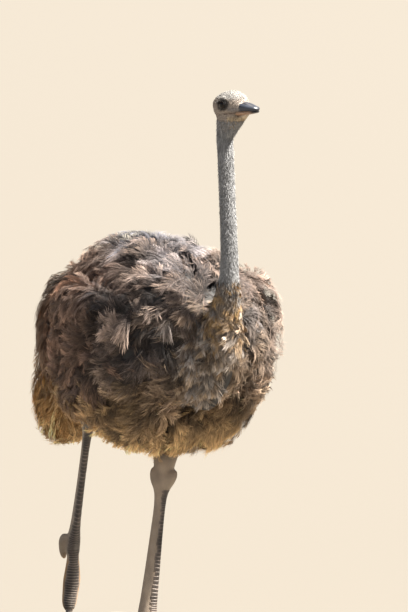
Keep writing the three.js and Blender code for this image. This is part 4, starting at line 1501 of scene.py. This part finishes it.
def growNeckBase():
    # small plumes that grow larger down the foot of the neck and lie over it like scales
    def near(m):
        return smooth(1.25, 1.0, coneReach(m)) * (m[:, 2] < 1.29) * (m[:, 1] < -0.3)

    root, normal = scatter(pointsOf(skin), normalsOf(skin), trianglesOf(skin), near, 2500, 330)
    low = smooth(1.27, 1.05, root[:, 2])
    middle = np.interp(-root[:, 2], -coneLine[:, 2], coneLine[:, 0])
    want = np.stack([2.2 * (root[:, 0] - middle) - 0.35 * low, np.full(len(root), 0.12), np.full(len(root), -1.0)], 1)
    flow = unit(want - normal * (want * normal).sum(1, keepdims=True))
    ochre, grey = ochreMottle(root)
    tip = blend(np.array((0.36, 0.28, 0.215)), np.array((0.76, 0.48, 0.20)), ochre * (1 - 0.45 * low))
    tip = blend(tip, np.array((0.66, 0.625, 0.60)), np.clip(0.5 * grey + 0.35 * low, 0, 1))
    # dark inner tone: painted shade deep under these plumes
    inner = blend(np.array((0.06, 0.046, 0.037)), np.array((0.17, 0.095, 0.035)), ochre)
    look = dict(messy, barbs=11, clump=5, length=0.052, lift=20, liftSpread=8, yaw=22, curl=0.3, width=0.019,
                gather=0.15, bend=0.2, room=1.0, barb=0.001, tipPower=1.4, dome=0.004, fan=0.2, barbAngle=34)
    growPlumes("plumesNeckBase", root, normal, flow, look, unwrapNeck(root), (inner, tip), 331,
               scale=0.35 + 0.75 * low)


growBodyCoat()
growHem()
growNeckBase()


def growStrands(name, root, normal, flow, look, rootPlace, colour, seed, material="down", scale=1.0):
    # single tapering blades: root + length (flow t cos a + normal (t sin a - curl t^2)) + drop
    rng = np.random.default_rng(seed)
    count = len(root)
    own = rng.normal(size=(count, 5))
    length = look["length"] * (1 + 0.25 * own[:, 0]) * scale
    lift = np.radians(np.clip(look["lift"] + look["liftSpread"] * own[:, 1], 2, 85))
    turn = np.radians(look["yaw"] * own[:, 2])
    aside = np.cross(normal, flow)
    flow = flow * np.cos(turn)[:, None] + aside * np.sin(turn)[:, None]
    roll = (own[:, 3] * 0.7)[:, None]
    wide = unit(np.cross(normal, flow) * np.cos(roll) + normal * np.sin(roll))
    t = np.array([0, 0, 0.5, 0.5, 1.0])[None, :, None]
    edge = np.array([-1, 1, -1, 1, 0.0])[None, :, None]
    reachOut, rise = length[:, None, None], lift[:, None, None]
    way = flow[:, None] * t * np.cos(rise) + normal[:, None] * (t * np.sin(rise) - look["curl"] * t ** 2)
    way = way + np.array([0, 0, -1.0]) * look["drop"] * t ** 2
    blade = (look["blade"] * np.sqrt(scale * np.ones(count)))[:, None, None] * (1 - 0.5 * t)
    at = root[:, None] + reachOut * way + wide[:, None] * edge * blade
    faces = np.array([[0, 1, 3], [0, 3, 2], [2, 3, 4]])
    every = np.arange(count)[:, None, None] * 5 + faces[None]
    made = makeMesh(name, at.reshape(-1, 3), every.reshape(-1, 3))
    rootTone, tipTone = colour
    tone = rootTone[:, None] * (1 - t) + tipTone[:, None] * t
    tone = tone * (1 + 0.16 * own[:, 4, None, None])
    addColour(made, "coatColour" if material in ("down", "plume") else "hornColour", tone.reshape(-1, 3))
    patch = np.array([[0.1, 0], [0.9, 0], [0.2, 0.5], [0.8, 0.5], [0.5, 1.0]])
    addBakeMap(made, rootPlace, np.tile(patch, (count, 1)), 5)
    return finishPiece(made, materials[material], soft=False)


downForm = {
    "neckCount": 31000,
    "headCount": 12500,
    "neck": dict(length=0.0105, lift=22, liftSpread=7, yaw=17, curl=0.12, drop=0.0, blade=0.00062),
    "head": dict(length=0.005, lift=20, liftSpread=10, yaw=22, curl=0.1, drop=0.0, blade=0.0005),
}


def growNeckDown():
    # short on the neck, longer and ochre where it meets the plumes
    def onNeck(m):
        return ((m[:, 2] > 1.04) & (m[:, 1] < -0.36) & (m[:, 2] < 1.80) & (neckShare(m)[0] < 0.095)).astype(float)

    root, normal = scatter(pointsOf(skin), normalsOf(skin), trianglesOf(skin), onNeck, downForm["neckCount"], 300)
    want = np.array([0, 0.05, -1.0])
    flow = unit(want - normal * (normal @ want)[:, None])
    base = smooth(1.31, 1.22, root[:, 2] + 0.015 * waves(root, 0.05, 55))
    ochre, grey = ochreMottle(root)
    foot = blend(np.array((0.24, 0.19, 0.145)), np.array((0.56, 0.36, 0.15)), ochre)
    foot = blend(foot, np.array((0.50, 0.48, 0.47)), 0.6 * grey)
    tip = blend(np.array((0.47, 0.47, 0.475)), foot, base)
    low = blend(np.array((0.12, 0.12, 0.124)), foot * 0.3, base)
    patchy = (1 + 0.12 * waves(root * np.array([1, 1, 0.3]), 0.012, 51) + 0.08 * waves(root, 0.12, 52))[:, None]
    growStrands("downNeck", root, normal, flow, downForm["neck"], unwrapNeck(root), (low * patchy, tip * patchy), 301,
                scale=1 + 1.6 * base)


def growHeadDown():
    # very short, pale on the crown, dark round the lids
    def onSkull(m):
        h = toHead(m) / mm
        crown = smooth(-2, 22, h[:, 2])
        bare = (h[:, 1] < -68) | ((h[:, 1] < -52) & (h[:, 2] < -24)) | ((lidReach(h) < 1.2) & (np.abs(h[:, 0]) > 20))
        return np.where(bare | (m[:, 2] < 1.77), 0.0, 0.5 + 0.5 * crown)

    root, normal = scatter(pointsOf(skin), normalsOf(skin), trianglesOf(skin), onSkull, downForm["headCount"], 310)
    want = np.array([0, 1.0, -0.25]) @ headTurn.T
    flow = unit(want - normal * (normal @ want)[:, None])
    h = toHead(root) / mm
    tip = headTone(h)
    place = np.stack([np.arctan2(h[:, 0], h[:, 2] + 20) / (2 * math.pi) + 0.5, h[:, 1] * 0.01], 1)
    growStrands("downHead", root, normal, flow, downForm["head"], place, (tip * 0.6, tip), 311)


def growLashes():
    # upper lashes: blades from the lid margin, curving out and down
    rng = np.random.default_rng(320)
    roots, flows, normals = [], [], []
    for side in (1, -1):
        turn = np.radians(rng.uniform(15, 172, 90))
        y, z = -15.2 * np.cos(turn), 11.5 * np.sin(turn)
        ball = headForm["eyeOut"] + headForm["eyeDepth"] * np.sqrt(1 - (y ** 2 + z ** 2) / headForm["eyeRadius"] ** 2)
        roots.append(np.stack([side * (ball + 2.0), y, z], 1) * mm)
        flows.append(np.stack([np.full(90, side * 0.75), -0.45 * np.cos(turn), 0.15 + 0.3 * np.sin(turn)], 1))
        normals.append(np.stack([np.zeros(90), np.zeros(90), np.ones(90)], 1))
    root, flow, normal = (np.vstack(v) for v in (roots, flows, normals))
    flow = unit(flow)
    normal = unit(normal - flow * (flow * normal).sum(1, keepdims=True))
    look = dict(length=0.0105, lift=4, liftSpread=6, yaw=10, curl=0.18, drop=0.1, blade=0.00055)
    dark = np.tile(np.array((0.02, 0.017, 0.015)), (len(root), 1))
    place = root[:, 1:] * 10 + (root[:, :1] > 0) * 1.0
    growStrands("lashes", fromHead(root), normal @ headTurn.T, flow @ headTurn.T, look, place, (dark, dark), 321,
                "lash")


growNeckDown()
growHeadDown()
growLashes()
print("down and lashes made")


# camera, floor and light
cameraForm = {
    "azimuth": -33.0,
    "distance": 10.0,
    "height": 2.6,
    "tilt": 8.29,  # degrees down
    "focal": 3040 / 612 * 36,  # mm on a frame 36 mm high
    "aside": 0.2009,  # metres to the right of the bird's origin
}


def cameraAxes():
    turn, tilt = math.radians(cameraForm["azimuth"]), math.radians(cameraForm["tilt"])
    away = np.array([-math.sin(turn), math.cos(turn), 0])
    right = np.array([math.cos(turn), math.sin(turn), 0])
    ahead = away * math.cos(tilt) - np.array([0, 0, math.sin(tilt)])
    return away, right, ahead, np.cross(right, ahead)


def makeCamera():
    away, right, ahead, up = cameraAxes()
    # at its place in the bird's frame, moved by the shift to the model's own
    data = bpy.data.cameras.new("camera")
    data.sensor_fit, data.sensor_height, data.lens = "VERTICAL", 36, cameraForm["focal"]
    data.sensor_width = 24
    data.clip_end = 3000
    camera = bpy.data.objects.new("camera", data)
    place = -away * cameraForm["distance"] + right * cameraForm["aside"] + shift
    place[2] = cameraForm["height"] + shift[2]
    world = np.eye(4)
    world[:3, 0], world[:3, 1], world[:3, 2], world[:3, 3] = right, up, -ahead, place
    camera.matrix_world = Matrix(world.tolist())
    bpy.context.scene.collection.objects.link(camera)
    bpy.context.scene.camera = camera


lightForm = {
    "sun": 21.0,  # strength of the key light
    "sunAngle": 5,  # degrees across, for soft edges
    "sunColour": (1.0, 0.95, 0.87),
    "sunSide": 0.60,  # metres to the right for each metre up
    "fill": 65,  # watts
    "fillColour": (0.97, 0.98, 1.0),
    "sky": 0.34,
    "skyColour": (0.80, 0.87, 1.0),
    "floor": (0.135, 0.122, 0.103),
    "floorReach": 1200,  # metres to each side
}


def makeFloor():
    # a flat grid, finer near the middle
    half = np.array([0.015, 0.03, 0.06, 0.12, 0.25, 0.5, 1])
    span = np.concatenate([-half[::-1], [0.0], half]) * lightForm["floorReach"]
    x, y = np.meshgrid(span, span, indexing="ij")
    points = np.stack([x, y, np.zeros_like(x)], -1).reshape(-1, 3) - np.array([0, 0, shift[2]])
    i, j = np.meshgrid(np.arange(14), np.arange(14), indexing="ij")
    a = i * 15 + j
    floor = makeMesh("floor", points, np.stack([a, a + 15, a + 16, a + 1], -1).reshape(-1, 4))
    material, _, principled = newMaterial("paleFloor", 0.9)
    principled.inputs["Base Color"].default_value = (*lightForm["floor"], 1)
    floor.data.materials.append(material)


def addArea(name, place, aim, size, power, colour):
    data = bpy.data.lights.new(name, "AREA")
    data.shape, data.size, data.energy, data.color = "DISK", size, power, colour
    light = bpy.data.objects.new(name, data)
    z = unit(np.array(place, float) - np.array(aim, float))
    x = unit(np.cross([0, 0, 1.0], z))
    world = np.eye(4)
    world[:3, 0], world[:3, 1], world[:3, 2], world[:3, 3] = x, np.cross(z, x), z, place
    light.matrix_world = Matrix(world.tolist())
    bpy.context.scene.collection.objects.link(light)


def makeLights():
    away, right = cameraAxes()[:2]
    middle = np.array([0, 0, 1.0]) + shift
    data = bpy.data.lights.new("key", "SUN")
    data.energy, data.color = lightForm["sun"], lightForm["sunColour"]
    data.angle = math.radians(lightForm["sunAngle"])
    key = bpy.data.objects.new("key", data)
    z = unit(right * lightForm["sunSide"] + np.array([0, 0, 1.0]))
    x = unit(np.cross([0, 0, 1.0], z))
    world = np.eye(4)
    world[:3, 0], world[:3, 1], world[:3, 2] = x, np.cross(z, x), z
    key.matrix_world = Matrix(world.tolist())
    bpy.context.scene.collection.objects.link(key)
    place = middle - right * 3.5 - away * 5 + np.array([0, 0, 2.6])
    addArea("fill", place, middle, 4.0, lightForm["fill"], lightForm["fillColour"])
    world = bpy.data.worlds.new("studio")
    world.use_nodes = True
    back = world.node_tree.nodes["Background"]
    back.inputs["Color"].default_value = (*lightForm["skyColour"], 1)
    back.inputs["Strength"].default_value = lightForm["sky"]
    bpy.context.scene.world = world
    bpy.context.scene.view_settings.view_transform = "Standard"


makeCamera()
makeFloor()
makeLights()
